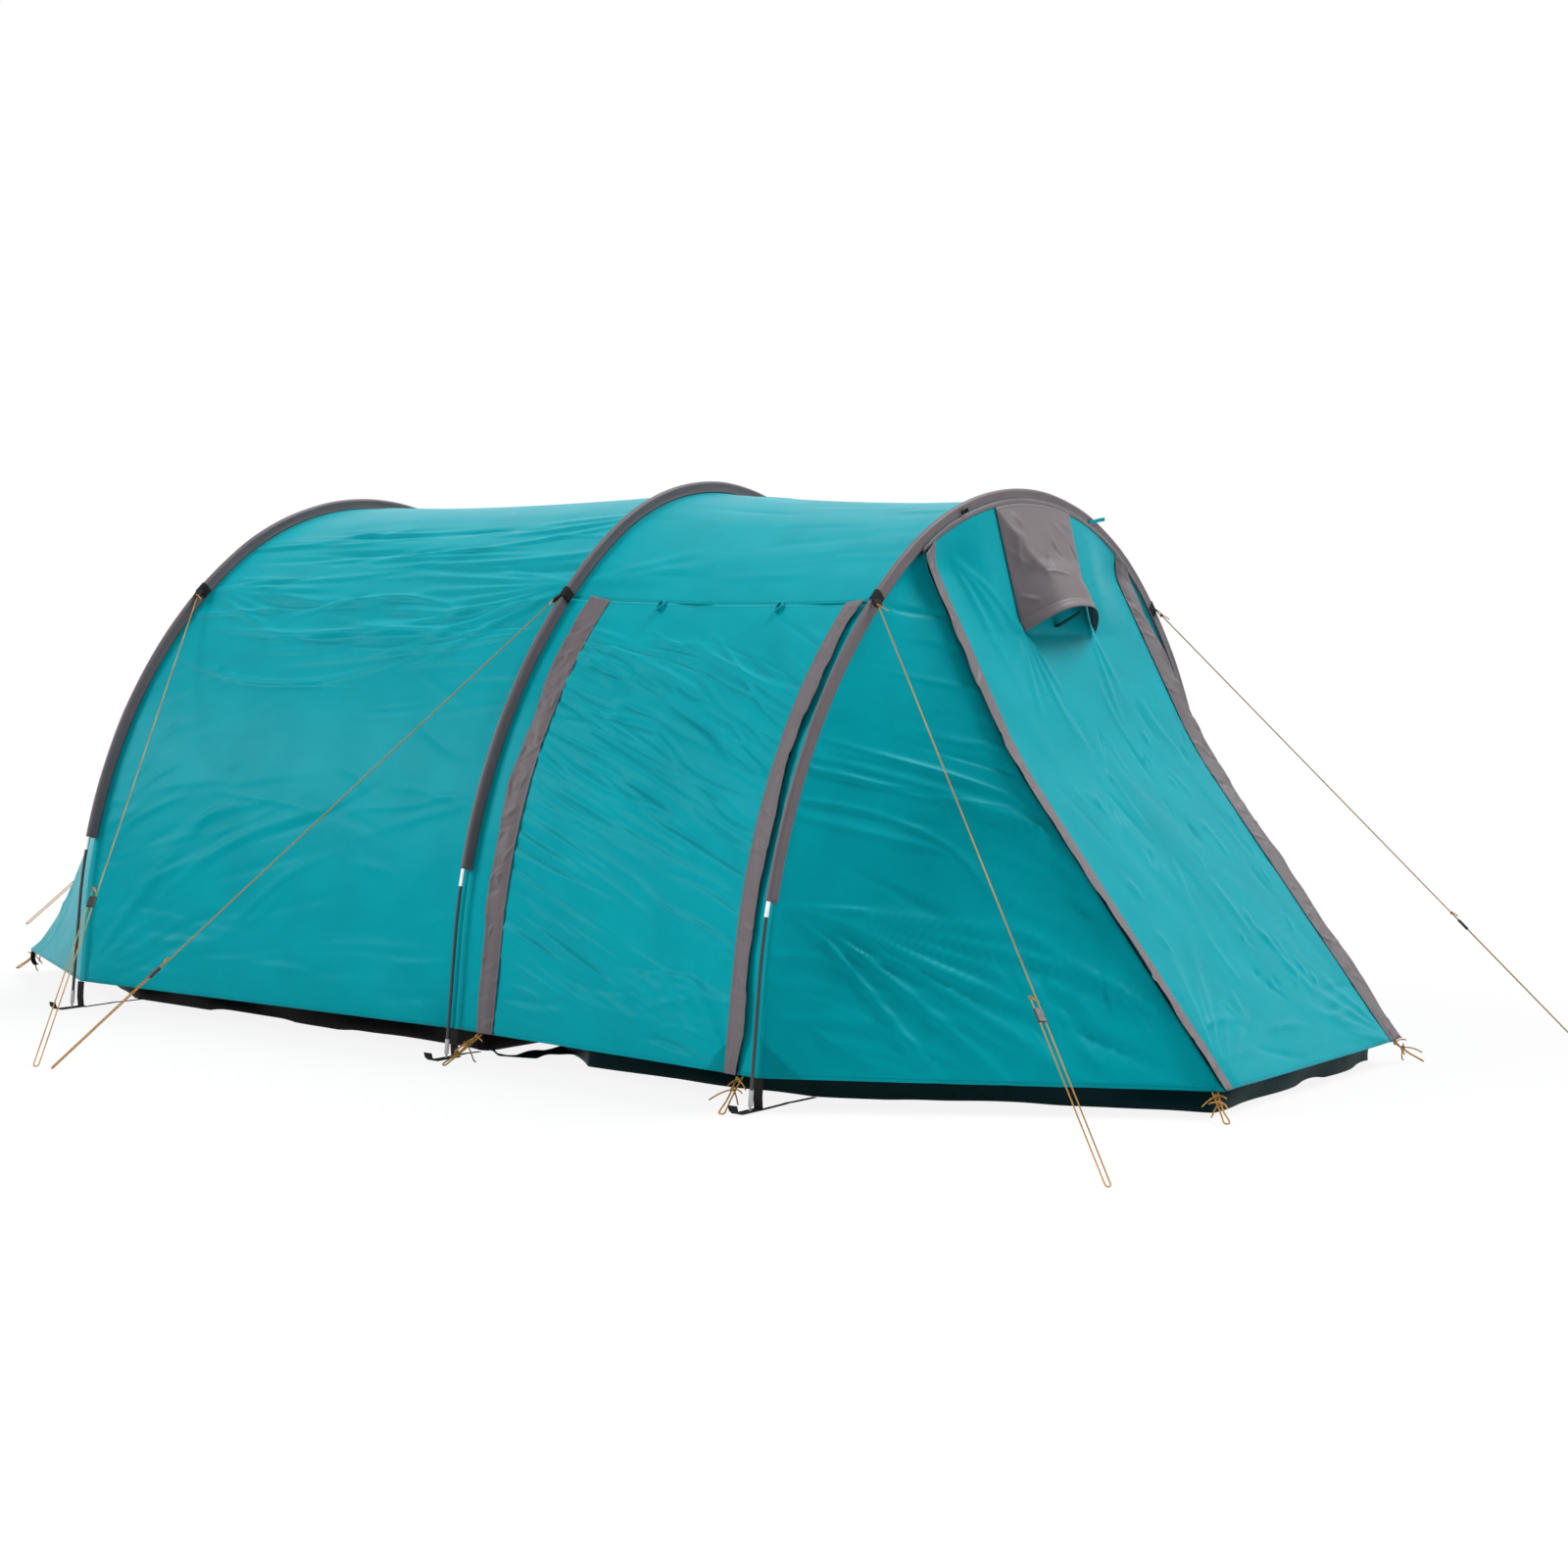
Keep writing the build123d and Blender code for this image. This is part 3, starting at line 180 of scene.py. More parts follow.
class TentSizes(bpy.types.PropertyGroup):
    """Sizes that can be changed without touching the frame."""

    cloth: FloatProperty(
        name="Cloth", description="Thickness of the flysheet", default=0.0012, min=0.0004, unit="LENGTH"
    )
    slack: FloatProperty(
        name="Slack", description="How far the cloth sinks in between two arches", default=0.016, unit="LENGTH"
    )
    folds: FloatProperty(name="Folds", description="Depth of the folds, 1 as in the photograph", default=1.0)
    guy_dia: FloatProperty(
        name="Guy line", description="Thickness of the guy lines", default=0.0032, unit="LENGTH"
    )


class TentColours(bpy.types.PropertyGroup):
    """Colours of the cloths and cords."""

    fly: FloatVectorProperty(
        name="Flysheet", description="Teal cloth", subtype="COLOR", default=(0.001, 0.352, 0.418)
    )
    trim: FloatVectorProperty(
        name="Trim", description="Sleeves, flaps and hood", subtype="COLOR", default=(0.135, 0.113, 0.124)
    )
    cord: FloatVectorProperty(
        name="Cord", description="Amber cord", subtype="COLOR", default=(0.46, 0.22, 0.03)
    )
    cabin_floor: FloatVectorProperty(
        name="Cabin floor", description="Groundsheet of the cabin", subtype="COLOR",
        default=(0.008, 0.008, 0.009),
    )
    porch_floor: FloatVectorProperty(
        name="Porch floor", description="Groundsheet of the porch", subtype="COLOR",
        default=(0.001, 0.028, 0.033),
    )
    inner: FloatVectorProperty(
        name="Inner tent", description="Cloth of the cabin", subtype="COLOR", default=(0.62, 0.62, 0.57)
    )


def marks_along(points):
    """Length from the first point of a line to each of its points."""
    return np.concatenate([[0], np.cumsum(np.linalg.norm(np.diff(points, axis=0), axis=1))])


def spots(x, y, z):
    """Points from their coordinates, of which some may be one number for all."""
    return np.stack(np.broadcast_arrays(x, y, z), -1)


def walk(at, marks, points):
    """Places at marks along a line of points."""
    return np.stack([np.interp(at, marks, points[:, i]) for i in range(points.shape[1])], -1)


class PoleLine:
    """Line of a bent pole across the tent, walked by length from the near foot."""

    def __init__(self, half_width, height):
        low, high = FOOT_LEAN, SHOULDER_LEAN
        across = half_width - LEG * sin(low)
        rise = height - LEG * cos(low)
        run_a, run_b = cos(low) - cos(high), cos(high)
        lift_a, lift_b = sin(high) - sin(low), 1 - sin(high)
        det = run_a * lift_b - run_b * lift_a
        self.shoulder = (across * lift_b - run_b * rise) / det
        self.crown = (run_a * rise - across * lift_a) / det
        self.half_width, self.height = half_width, height
        self.mark = LEG + self.shoulder * (high - low)
        self.half = self.mark + self.crown * (pi / 2 - high)
        self.length = 2 * self.half

    def lean(self, s):
        """Lean from upright at a length along the near half."""
        bent = FOOT_LEAN + (s - LEG) / self.shoulder
        crown = SHOULDER_LEAN + (s - self.mark) / self.crown
        return np.where(s <= LEG, FOOT_LEAN, np.where(s <= self.mark, bent, crown))

    def place(self, s, off=0.0):
        """Y and Z at lengths along the pole, moved outwards by off."""
        s = np.asarray(s, float)
        far = s > self.half
        t = np.where(far, self.length - s, s)
        a = self.lean(t)
        b = np.clip(a, FOOT_LEAN, SHOULDER_LEAN)
        c = np.maximum(a, SHOULDER_LEAN)
        leg = np.minimum(t, LEG)
        y = self.half_width - leg * sin(FOOT_LEAN) - self.shoulder * (cos(FOOT_LEAN) - np.cos(b))
        z = leg * cos(FOOT_LEAN) + self.shoulder * (np.sin(b) - sin(FOOT_LEAN))
        y = y - self.crown * (cos(SHOULDER_LEAN) - np.cos(c)) + off * np.cos(a)
        z = z + self.crown * (np.sin(c) - sin(SHOULDER_LEAN)) + off * np.sin(a)
        return np.where(far, y, -y), z

    def at_height(self, z, off=0.0):
        """Length along the near half at a height."""
        s = np.linspace(0, self.half, 4001)
        return float(np.interp(z, self.place(s, off)[1], s))


def pole_line(x):
    """Pole line at any place between the rear and the front arch."""
    share = (x - X_REAR) / BEDROOM_BAY if x < X_MID else (X_FRONT - x) / PORCH_BAY
    return PoleLine(
        END_HALF_WIDTH + (MID_HALF_WIDTH - END_HALF_WIDTH) * share,
        END_HEIGHT + (MID_HEIGHT - END_HEIGHT) * share,
    )


ARCHES = {"rear": X_REAR, "middle": X_MID, "front": X_FRONT}
REAR_LINE, FRONT_LINE = pole_line(X_REAR), pole_line(X_FRONT)


def near_hem(line):
    """Lower edge of the flysheet on the near side."""
    return line.at_height(HEM, SKIN)


def far_hem(line):
    """Lower edge of the flysheet on the far side."""
    return line.length - near_hem(line)


def near_seam(line):
    """Seam above the side door."""
    return line.at_height(SEAM_HEIGHT, SKIN)


def far_seam(line):
    """The same seam on the far side."""
    return line.length - near_seam(line)


def door_head(line):
    """Upper edge of the side door."""
    return near_seam(line) - CLEAR


class DoorLine:
    """Line of the front door from the arch down to the hem, in X and Z."""

    def __init__(self):
        x_leaf, top = X_FRONT + X_LEAF_OUT, END_HEIGHT + LEAF_RIM
        corners = [
            (x_leaf, top),
            (x_leaf, BEND_HEIGHT),
            (x_leaf + KNEE_OUT, KNEE_HEIGHT),
            (X_FRONT_HEM, FRONT_HEM),
        ]
        c = [np.array(p) for p in corners]
        points = [c[0]]
        for i, radius in ((1, BEND_RADIUS), (2, KNEE_RADIUS)):
            before = (c[i] - c[i - 1]) / np.linalg.norm(c[i] - c[i - 1])
            after = (c[i + 1] - c[i]) / np.linalg.norm(c[i + 1] - c[i])
            turn = np.arccos(np.clip(before @ after, -1, 1))
            reach = radius * tan(turn / 2)
            side = after - before * (before @ after)
            side /= np.linalg.norm(side)
            start = c[i] - before * reach
            for share in np.linspace(0, 1, 25):
                angle = turn * share
                points.append(start + radius * (before * sin(angle) + side * (1 - cos(angle))))
        points.append(c[3])
        self.points = np.array(points)
        self.run = marks_along(self.points)
        self.length = self.run[-1]
        self.cuts = [0.0, self.run[1], self.run[25], self.run[26], self.run[50], self.length]

    def place(self, length, off=0.0):
        """X and Z at a length down from the top, moved outwards by off."""
        spot, after, before = (walk(length + step, self.run, self.points) for step in (0.0, 0.01, -0.01))
        dx, dz = after[..., 0] - before[..., 0], after[..., 1] - before[..., 1]
        size = np.hypot(dx, dz)
        return spot[..., 0] - off * dz / size, spot[..., 1] + off * dx / size


DOOR = DoorLine()


def arch_drop(y):
    """How far below the door line's top the arch's cloth edge lies at a distance from the middle."""
    s = np.linspace(FRONT_LINE.half * 0.55, FRONT_LINE.half, 800)
    ys, zs = FRONT_LINE.place(s, LEAF_RIM)
    return END_HEIGHT + LEAF_RIM - np.interp(np.abs(y), -ys[::-1], zs[::-1])


def leaf_at(y, run, off=0.0):
    """X and Z of the front door's cloth, stretched straight from the arch to the hood's tips."""
    x, z = DOOR.place(run)
    low_x, low_z = DOOR.place(HOOD_DROP + HOOD_LENGTH)
    top = END_HEIGHT + LEAF_RIM - arch_drop(y)
    share = np.clip((top - z) / (top - low_z), 0, 1)
    chord = X_FRONT + X_LEAF_OUT + (low_x - X_FRONT - X_LEAF_OUT) * share
    pull = np.maximum(chord - x, 0) * (z > low_z) * smooth((0.46 - np.abs(y)) / 0.2)
    x, z = DOOR.place(run, off)
    return x + pull, z


def ripple(a, b, seed):
    """Smooth noise from -1 to 1 on a lattice of unit cells."""
    table = np.random.default_rng(seed).uniform(-1, 1, (101, 101))
    i, j = np.floor(a).astype(int), np.floor(b).astype(int)
    f, g = a - i, b - j
    f, g = f * f * f * (f * (f * 6 - 15) + 10), g * g * g * (g * (g * 6 - 15) + 10)
    low = table[i % 101, j % 101] * (1 - f) + table[(i + 1) % 101, j % 101] * f
    high = table[i % 101, (j + 1) % 101] * (1 - f) + table[(i + 1) % 101, (j + 1) % 101] * f
    return low * (1 - g) + high * g


def pulls(x, y, angle, run, gap, seed):
    """Folds of pulled cloth: noise drawn out along one direction, with creased crests."""
    along = (x * cos(angle) + y * sin(angle)) / run
    across = (y * cos(angle) - x * sin(angle)) / gap
    across = across + 0.7 * ripple(along * 1.3 + 5, across * 0.3, seed + 1)
    n = 0.7 * ripple(along, across, seed) + 0.4 * ripple(along * 1.7 + 9, across * 2.3, seed + 2)
    return np.sign(n) * np.abs(n) ** 0.85


def crumple(x, y, gap, seed):
    """Small dents and creases without a direction."""
    a = ripple(x / gap, y / gap, seed)
    b = ripple((x + y) * 0.9 / gap + 11, (y - x) * 0.9 / gap, seed + 3)
    return 0.6 - np.abs(a) - np.abs(b) * 0.7


def creases(x, y, seed, count, box, angle, turn, run, wide, high):
    """Single folds strewn over a box: ridges and furrows with one steeper side, at about one angle."""
    draw = np.random.default_rng(seed)
    total = np.zeros_like(x)
    for _ in range(count):
        cx, cy = draw.uniform(box[0], box[1]), draw.uniform(box[2], box[3])
        lean = angle + draw.normal(0, turn)
        length, width = run * draw.uniform(0.5, 1.5), wide * draw.uniform(0.6, 1.5)
        height = high * draw.uniform(0.5, 1.5) * draw.choice([1, 1, -1])
        bow = draw.normal(0, 0.05) * length
        t = ((x - cx) * cos(lean) + (y - cy) * sin(lean)) / length
        fade = np.clip(1 - 4 * t * t, 0, 1)
        d = ((y - cy) * cos(lean) - (x - cx) * sin(lean) - bow * fade) / width
        total += height * fade ** 1.5 * np.exp(-np.where(d > 0, d, 1.8 * d) ** 2)
    return total


def fan(x, y, origin, angles, reach, width, height):
    """Folds that run out from one held point."""
    dx, dy = x - origin[0], y - origin[1]
    total = np.zeros_like(x)
    for k, angle in enumerate(angles):
        far = reach * (0.75 + 0.5 * ((k * 37) % 10) / 10)
        t = (dx * cos(angle) + dy * sin(angle)) / far
        d = dy * cos(angle) - dx * sin(angle)
        wide = width * (0.4 + np.clip(t, 0, 1))
        fade = smooth(np.clip(t * 5, 0, 1)) * smooth(np.clip((1 - t) * 1.6, 0, 1))
        total += height * np.exp(-((d / wide) ** 2)) * fade
    return total


def strewn(x, y, rows):
    """Sum of the strewn folds of a table."""
    return sum(creases(x, y, *row) for row in rows)


def fans(x, y, rows):
    """Sum of the fans of a table."""
    return sum(fan(x, y, origin, np.radians(angles), *size) for origin, angles, *size in rows)


def smooth(t):
    """Soft step for values from 0 to 1."""
    t = np.clip(t, 0, 1)
    return t * t * (3 - 2 * t)


def off_edges(u, soft):
    """0 at both edges of a cloth, 1 further in than a share of its width."""
    return smooth(np.minimum(u, 1 - u) / soft)


def outward(u, way):
    """Share across a piece of the front, counted outwards on either side of the tent."""
    return u if way > 0 else 1 - u


def zone(value, low, high, soft):
    """1 between two limits, falling off softly outside them."""
    return smooth((value - low) / soft + 0.5) * smooth((high - value) / soft + 0.5)


def bay_slack(x, s):
    """How far the cloth has sunk in at a place of a bay; s is the length above the nearer hem."""
    x0, x1 = (X_REAR, X_MID) if np.mean(x) < X_MID else (X_MID, X_FRONT)
    share = np.clip((x - x0) / (x1 - x0), 0, 1)
    return -bpy.context.scene.tent_sizes.slack * 4 * share * (1 - share) * smooth(s / 0.3)


def bay(x0, x1, low, high):
    """Surface stretched between two pole lines, as place(u, v)."""
    first, second = pole_line(x0), pole_line(x1)
    a0, a1, b0, b1 = low(first), high(first), low(second), high(second)

    def place(u, v, off=SKIN):
        y0, z0 = first.place(a0 + v * (a1 - a0), off)
        y1, z1 = second.place(b0 + v * (b1 - b0), off)
        return spots(x0 + u * (x1 - x0), y0 + u * (y1 - y0), z0 + u * (z1 - z0))

    return place


def activate(piece):
    """Make one piece the only selected and active one."""
    bpy.ops.object.select_all(action="DESELECT")
    piece.select_set(True)
    bpy.context.view_layer.objects.active = piece


def apply_modifier(piece, kind, **values):
    """Add a modifier with its values and apply it."""
    mod = piece.modifiers.new(kind.title(), kind)
    for key, value in values.items():
        setattr(mod, key, value)
    activate(piece)
    bpy.ops.object.modifier_apply(modifier=mod.name)


def lay_measures(mesh, flat, points, cells, edge):
    """Write a cloth's own metres as its UV map and the distance from its border; gives its cut size."""
    order = np.lexsort((np.round(flat[:, 0], 5), np.round(flat[:, 1], 5)))
    net = points[order].reshape(cells[1] + 1, cells[0] + 1, 3)
    wide = np.linalg.norm(np.diff(net, axis=1), axis=2)
    long = np.linalg.norm(np.diff(net, axis=0), axis=2)
    run_u = np.concatenate([np.zeros((net.shape[0], 1)), np.cumsum(wide, 1)], 1)
    run_v = np.concatenate([np.zeros((1, net.shape[1])), np.cumsum(long, 0)], 0)
    metre = np.empty((len(flat), 2))
    metre[order] = np.stack([run_u, run_v], -1).reshape(-1, 2)
    border = np.empty(len(flat))
    near_u = np.minimum(run_u, run_u[:, -1:] - run_u)
    near_v = np.minimum(run_v, run_v[-1:] - run_v)
    border[order] = np.minimum(near_u, near_v).ravel() if edge else 1.0
    mesh.attributes.new("edge", "FLOAT", "POINT").data.foreach_set("value", border)
    corner = np.empty(len(mesh.loops), dtype=np.int32)
    mesh.loops.foreach_get("vertex_index", corner)
    mesh.uv_layers.active.data.foreach_set("uv", metre[corner].ravel())
    return float(run_u[:, -1].max()), float(run_v[-1].max())


def cut_faces(piece, inside):
    """Delete the faces whose centres lie inside an opening."""
    activate(piece)
    bpy.ops.object.mode_set(mode="EDIT")
    bpy.ops.mesh.select_mode(type="FACE")
    bpy.ops.mesh.select_all(action="DESELECT")
    bpy.ops.object.mode_set(mode="OBJECT")
    for face in piece.data.polygons:
        face.select = inside(Vector(face.center))
    bpy.ops.object.mode_set(mode="EDIT")
    bpy.ops.mesh.delete(type="FACE")
    bpy.ops.object.mode_set(mode="OBJECT")


def weld_ends(piece):
    """Join the ends of a cloth that runs round and closes on itself."""
    activate(piece)
    bpy.ops.object.mode_set(mode="EDIT")
    bpy.ops.mesh.select_all(action="SELECT")
    bpy.ops.mesh.remove_doubles(threshold=0.00005)
    bpy.ops.object.mode_set(mode="OBJECT")


def drape(name, place, cells, relief=None, thick=None, rows=None, cut=None, weld=False, edge=True,
          patch=None):
    """Grid of cloth laid on a surface, pushed along its normal by relief(u, v) and given its thickness."""
    bpy.ops.object.select_all(action="DESELECT")
    bpy.ops.mesh.primitive_grid_add(x_subdivisions=cells[0], y_subdivisions=cells[1], size=2)
    piece = bpy.context.object
    piece.name = piece.data.name = name
    mesh = piece.data
    count = len(mesh.vertices)
    flat = np.empty(count * 3)
    mesh.vertices.foreach_get("co", flat)
    flat = flat.reshape(-1, 3)
    u, v = np.clip((flat[:, 0] + 1) / 2, 0, 1), np.clip((flat[:, 1] + 1) / 2, 0, 1)
    if rows:
        v = rows(v)
    points = place(u, v)
    if relief is not None:
        e = 0.002
        du = place(np.minimum(u + e, 1), v) - place(np.maximum(u - e, 0), v)
        dv = place(u, np.minimum(v + e, 1)) - place(u, np.maximum(v - e, 0))
        normal = np.cross(du, dv)
        normal /= np.maximum(np.linalg.norm(normal, axis=1), 1e-12)[:, None]
        points = points + normal * relief(u, v)[:, None]
    mesh.vertices.foreach_set("co", points.ravel())
    piece["cut_width"], piece["cut_length"] = lay_measures(mesh, flat, points, cells, edge)
    if patch:
        mesh.attributes.new("patch", "FLOAT", "POINT").data.foreach_set("value", patch(u, v).astype(float))
    mesh.update()
    if cut:
        cut_faces(piece, cut)
    if weld:
        weld_ends(piece)
    piece["cut_area"] = float(sum(face.area for face in mesh.polygons))
    apply_modifier(
        piece, "SOLIDIFY", thickness=thick or bpy.context.scene.tent_sizes.cloth, offset=-1, use_rim=True
    )
    activate(piece)
    bpy.ops.object.shade_smooth()
    return piece


def dress(piece, body, nodes, finish):
    """Give a piece its finish, its body and the nodes that it stands for."""
    piece.data.materials.clear()
    piece.data.materials.append(FINISH[finish])
    if body:
        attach(piece, body)
    if nodes:
        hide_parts(*nodes)
    return piece


def declare_cloth(piece):
    """Read the size of cloth a piece was cut from and bound its area; the figures are not kept."""
    width, length, area = piece["cut_width"], piece["cut_length"], piece["cut_area"]
    area = min(max(area, 0.31 * width * length), width * length)


def join(name, pieces):
    """One object from several."""
    activate(pieces[0])
    for piece in pieces[1:]:
        piece.select_set(True)
    bpy.ops.object.join()
    joined = bpy.context.object
    joined.name = joined.data.name = name
    return joined


class Nodes:
    """Adds nodes to one tree."""

    def __init__(self, tree):
        self.tree = tree

    def add(self, kind, values=None, **settings):
        """One node with its settings and its unlinked or linked inputs."""
        node = self.tree.nodes.new(kind)
        for key, value in settings.items():
            setattr(node, key, value)
        for key, value in (values or {}).items():
            if isinstance(value, bpy.types.NodeSocket):
                self.tree.links.new(value, node.inputs[key])
            else:
                node.inputs[key].default_value = value
        return node

    def sums(self, operation, first, second=0.0, third=0.0):
        """Output of a calculation."""
        return self.add("ShaderNodeMath", {0: first, 1: second, 2: third}, operation=operation).outputs[0]

    def in_sight(self):
        """1 for the camera and for what is seen in a mirror or through glass, 0 for other light."""
        path = self.add("ShaderNodeLightPath").outputs
        mirrored = self.sums("MAXIMUM", path["Is Glossy Ray"], path["Is Transmission Ray"])
        return self.sums("MAXIMUM", path["Is Camera Ray"], mirrored)


class Recipe(Nodes):
    """Adds the shader nodes of one finish."""

    def __init__(self, name, colour, rough, metal=0.0, sheen=0.0, specular=0.5, coat=0.0):
        self.material = bpy.data.materials.new(name)
        self.material.use_nodes = True
        super().__init__(self.material.node_tree)
        self.shader = self.tree.nodes["Principled BSDF"]
        values = {"Base Color": (*colour, 1), "Roughness": rough, "Metallic": metal, "Sheen Weight": sheen,
                  "Specular IOR Level": specular, "Coat Weight": coat}
        for key, value in values.items():
            self.shader.inputs[key].default_value = value
        self.colour = colour
        self.height = None
        FINISH[name] = self.material

    def object_place(self):
        """Object coordinates."""
        return self.add("ShaderNodeTexCoord").outputs["Object"]

    def cloth_place(self):
        """Place on the cloth, in metres along its two ways."""
        return self.add("ShaderNodeUVMap").outputs["UV"]

    def noise(self, place, scale, detail=3.0, rough=0.5):
        """Noise value."""
        values = {"Vector": place, "Scale": scale, "Detail": detail, "Roughness": rough}
        return self.add("ShaderNodeTexNoise", values).outputs["Fac"]

    def shade(self, value, dark, light, low=0.3, high=0.7):
        """Base colour between two shares of the finish's colour."""
        ramp = self.add("ShaderNodeMapRange", {"Value": value, "From Min": low, "From Max": high})
        mix = self.add("ShaderNodeMix", {"Factor": ramp.outputs["Result"]}, data_type="RGBA")
        mix.inputs[6].default_value = (*[min(c * dark, 1) for c in self.colour], 1)
        mix.inputs[7].default_value = (*[min(c * light, 1) for c in self.colour], 1)
        self.paint(mix.outputs[2])
        return mix.outputs[2]

    def paint(self, colour):
        """Link a colour to the shader."""
        self.tree.links.new(colour, self.shader.inputs["Base Color"])

    def gloss(self, value, low, high):
        """Roughness between two values."""
        ramp = self.add("ShaderNodeMapRange", {"Value": value, "To Min": low, "To Max": high})
        self.tree.links.new(ramp.outputs["Result"], self.shader.inputs["Roughness"])

    def bump(self, height, strength, distance):
        """One more layer of relief."""
        values = {"Height": height, "Strength": strength, "Distance": distance}
        if self.height:
            values["Normal"] = self.height
        self.height = self.add("ShaderNodeBump", values).outputs["Normal"]
        self.tree.links.new(self.height, self.shader.inputs["Normal"])


def weave(recipe, place, pitch, strength):
    """Plain weave: threads along both ways of the cloth."""
    parts = recipe.add("ShaderNodeSeparateXYZ", {"Vector": place})
    warp = recipe.sums("SINE", recipe.sums("MULTIPLY", parts.outputs["X"], 2 * pi / pitch))
    weft = recipe.sums("SINE", recipe.sums("MULTIPLY", parts.outputs["Y"], 2 * pi / pitch))
    recipe.bump(recipe.sums("MULTIPLY", warp, weft), strength, pitch / 6)


def cloth_finish(name, colour, rough, sheen, pitch=0.0011, dents=0.3, tint=(1.0, 1.0, 1.0), gleam=0.35):
    """Coated polyester: weave, small creases, uneven tone and rows of stitches along its seams."""
    recipe = Recipe(name, colour, rough, sheen=sheen, specular=gleam)
    recipe.shader.inputs["Specular Tint"].default_value = (*tint, 1)
    place = recipe.cloth_place()
    tone = recipe.shade(recipe.noise(place, 5.0, 4.0, 0.6), 0.92, 1.06)
    patch = recipe.add("ShaderNodeAttribute", attribute_name="patch").outputs["Fac"]
    edge = recipe.add("ShaderNodeAttribute", attribute_name="edge").outputs["Fac"]
    parts = recipe.add("ShaderNodeSeparateXYZ", {"Vector": place})
    along = recipe.sums("ADD", parts.outputs["X"], parts.outputs["Y"])
    turn = recipe.sums("MULTIPLY", along, 2 * pi / 0.0045)
    dash = recipe.sums("GREATER_THAN", recipe.sums("SINE", turn), -0.35)
    row = recipe.sums("COMPARE", edge, 0.0085, 0.0011)
    stitch = recipe.sums("MULTIPLY", row, dash)
    share = recipe.sums("MAXIMUM", recipe.sums("MULTIPLY", stitch, 0.45), recipe.sums("MULTIPLY", patch, 0.4))
    dark = recipe.add("ShaderNodeMix", {"Factor": share}, data_type="RGBA")
    recipe.tree.links.new(tone, dark.inputs[6])
    dark.inputs[7].default_value = (*[c * 0.35 for c in colour], 1)
    recipe.paint(dark.outputs[2])
    recipe.gloss(recipe.noise(place, 9.0, 3.0), rough - 0.05, rough + 0.07)
    recipe.bump(recipe.noise(place, 26.0, 5.0, 0.55), dents, 0.0022)
    weave(recipe, place, pitch, 0.12)
    recipe.bump(stitch, 0.5, 0.0006)
    return recipe


def webbing_finish(name, colour):
    """Black woven webbing with a herringbone."""
    recipe = Recipe(name, colour, 0.75, specular=0.2)
    place = recipe.cloth_place()
    parts = recipe.add("ShaderNodeSeparateXYZ", {"Vector": place})
    slant = recipe.sums("PINGPONG", parts.outputs["X"], 0.004)
    along = recipe.sums("ADD", slant, parts.outputs["Y"])
    rib = recipe.sums("SINE", recipe.sums("MULTIPLY", along, 2 * pi / 0.0024))
    recipe.shade(rib, 0.7, 1.5, -1.0, 1.0)
    recipe.bump(rib, 0.5, 0.0005)


def cord_finish(name, colour, pitch, rough=0.6):
    """Braided cord: slanting strands in two tones."""
    recipe = Recipe(name, colour, rough, sheen=0.2, specular=0.35)
    place = recipe.object_place()
    parts = recipe.add("ShaderNodeSeparateXYZ", {"Vector": place})
    slant = recipe.sums("ADD", recipe.sums("MULTIPLY", parts.outputs["X"], 0.8), parts.outputs["Z"])
    slant = recipe.sums("SUBTRACT", slant, recipe.sums("MULTIPLY", parts.outputs["Y"], 0.6))
    strand = recipe.sums("SINE", recipe.sums("MULTIPLY", slant, 2 * pi / pitch))
    recipe.shade(strand, 0.72, 1.2, -0.9, 0.9)
    recipe.bump(strand, 0.5, 0.0004)


def hard_finish(name, colour, rough, metal=0.0, grain=300.0, depth=0.0002, coat=0.0):
    """Moulded or drawn hard parts: fine grain, uneven gloss and handling marks."""
    recipe = Recipe(name, colour, rough, metal=metal, coat=coat)
    place = recipe.object_place()
    recipe.shade(recipe.noise(place, 30.0, 4.0), 0.85, 1.12)
    recipe.gloss(recipe.noise(place, 90.0, 3.0), rough - 0.06, rough + 0.1)
    recipe.bump(recipe.noise(place, grain, 2.0), 0.25, depth)


def mesh_finish(name, colour):
    """Fine insect mesh: crossing threads, with painted shade in the open cells between them."""
    recipe = Recipe(name, colour, 0.7, sheen=0.1, specular=0.25)
    place = recipe.cloth_place()
    parts = recipe.add("ShaderNodeSeparateXYZ", {"Vector": place})
    threads = []
    for key in ("X", "Y"):
        turn = recipe.sums("MULTIPLY", parts.outputs[key], pi / 0.0016)
        threads.append(recipe.sums("ABSOLUTE", recipe.sums("SINE", turn)))
    cell = recipe.sums("MULTIPLY", *threads)
    # Open cells painted darker than the threads: painted shade of the dark space seen through them.
    recipe.shade(cell, 2.2, 0.4, 0.15, 0.6)
    recipe.bump(recipe.sums("SUBTRACT", 1.0, cell), 0.5, 0.0004)


def zip_finish(name, colour):
    """Coil zip: teeth across the tape."""
    recipe = Recipe(name, colour, 0.5, specular=0.4)
    parts = recipe.add("ShaderNodeSeparateXYZ", {"Vector": recipe.cloth_place()})
    tooth = recipe.sums("SINE", recipe.sums("MULTIPLY", parts.outputs["Y"], 2 * pi / 0.0022))
    recipe.shade(tooth, 0.6, 1.6, -1.0, 1.0)
    recipe.bump(tooth, 0.8, 0.0006)


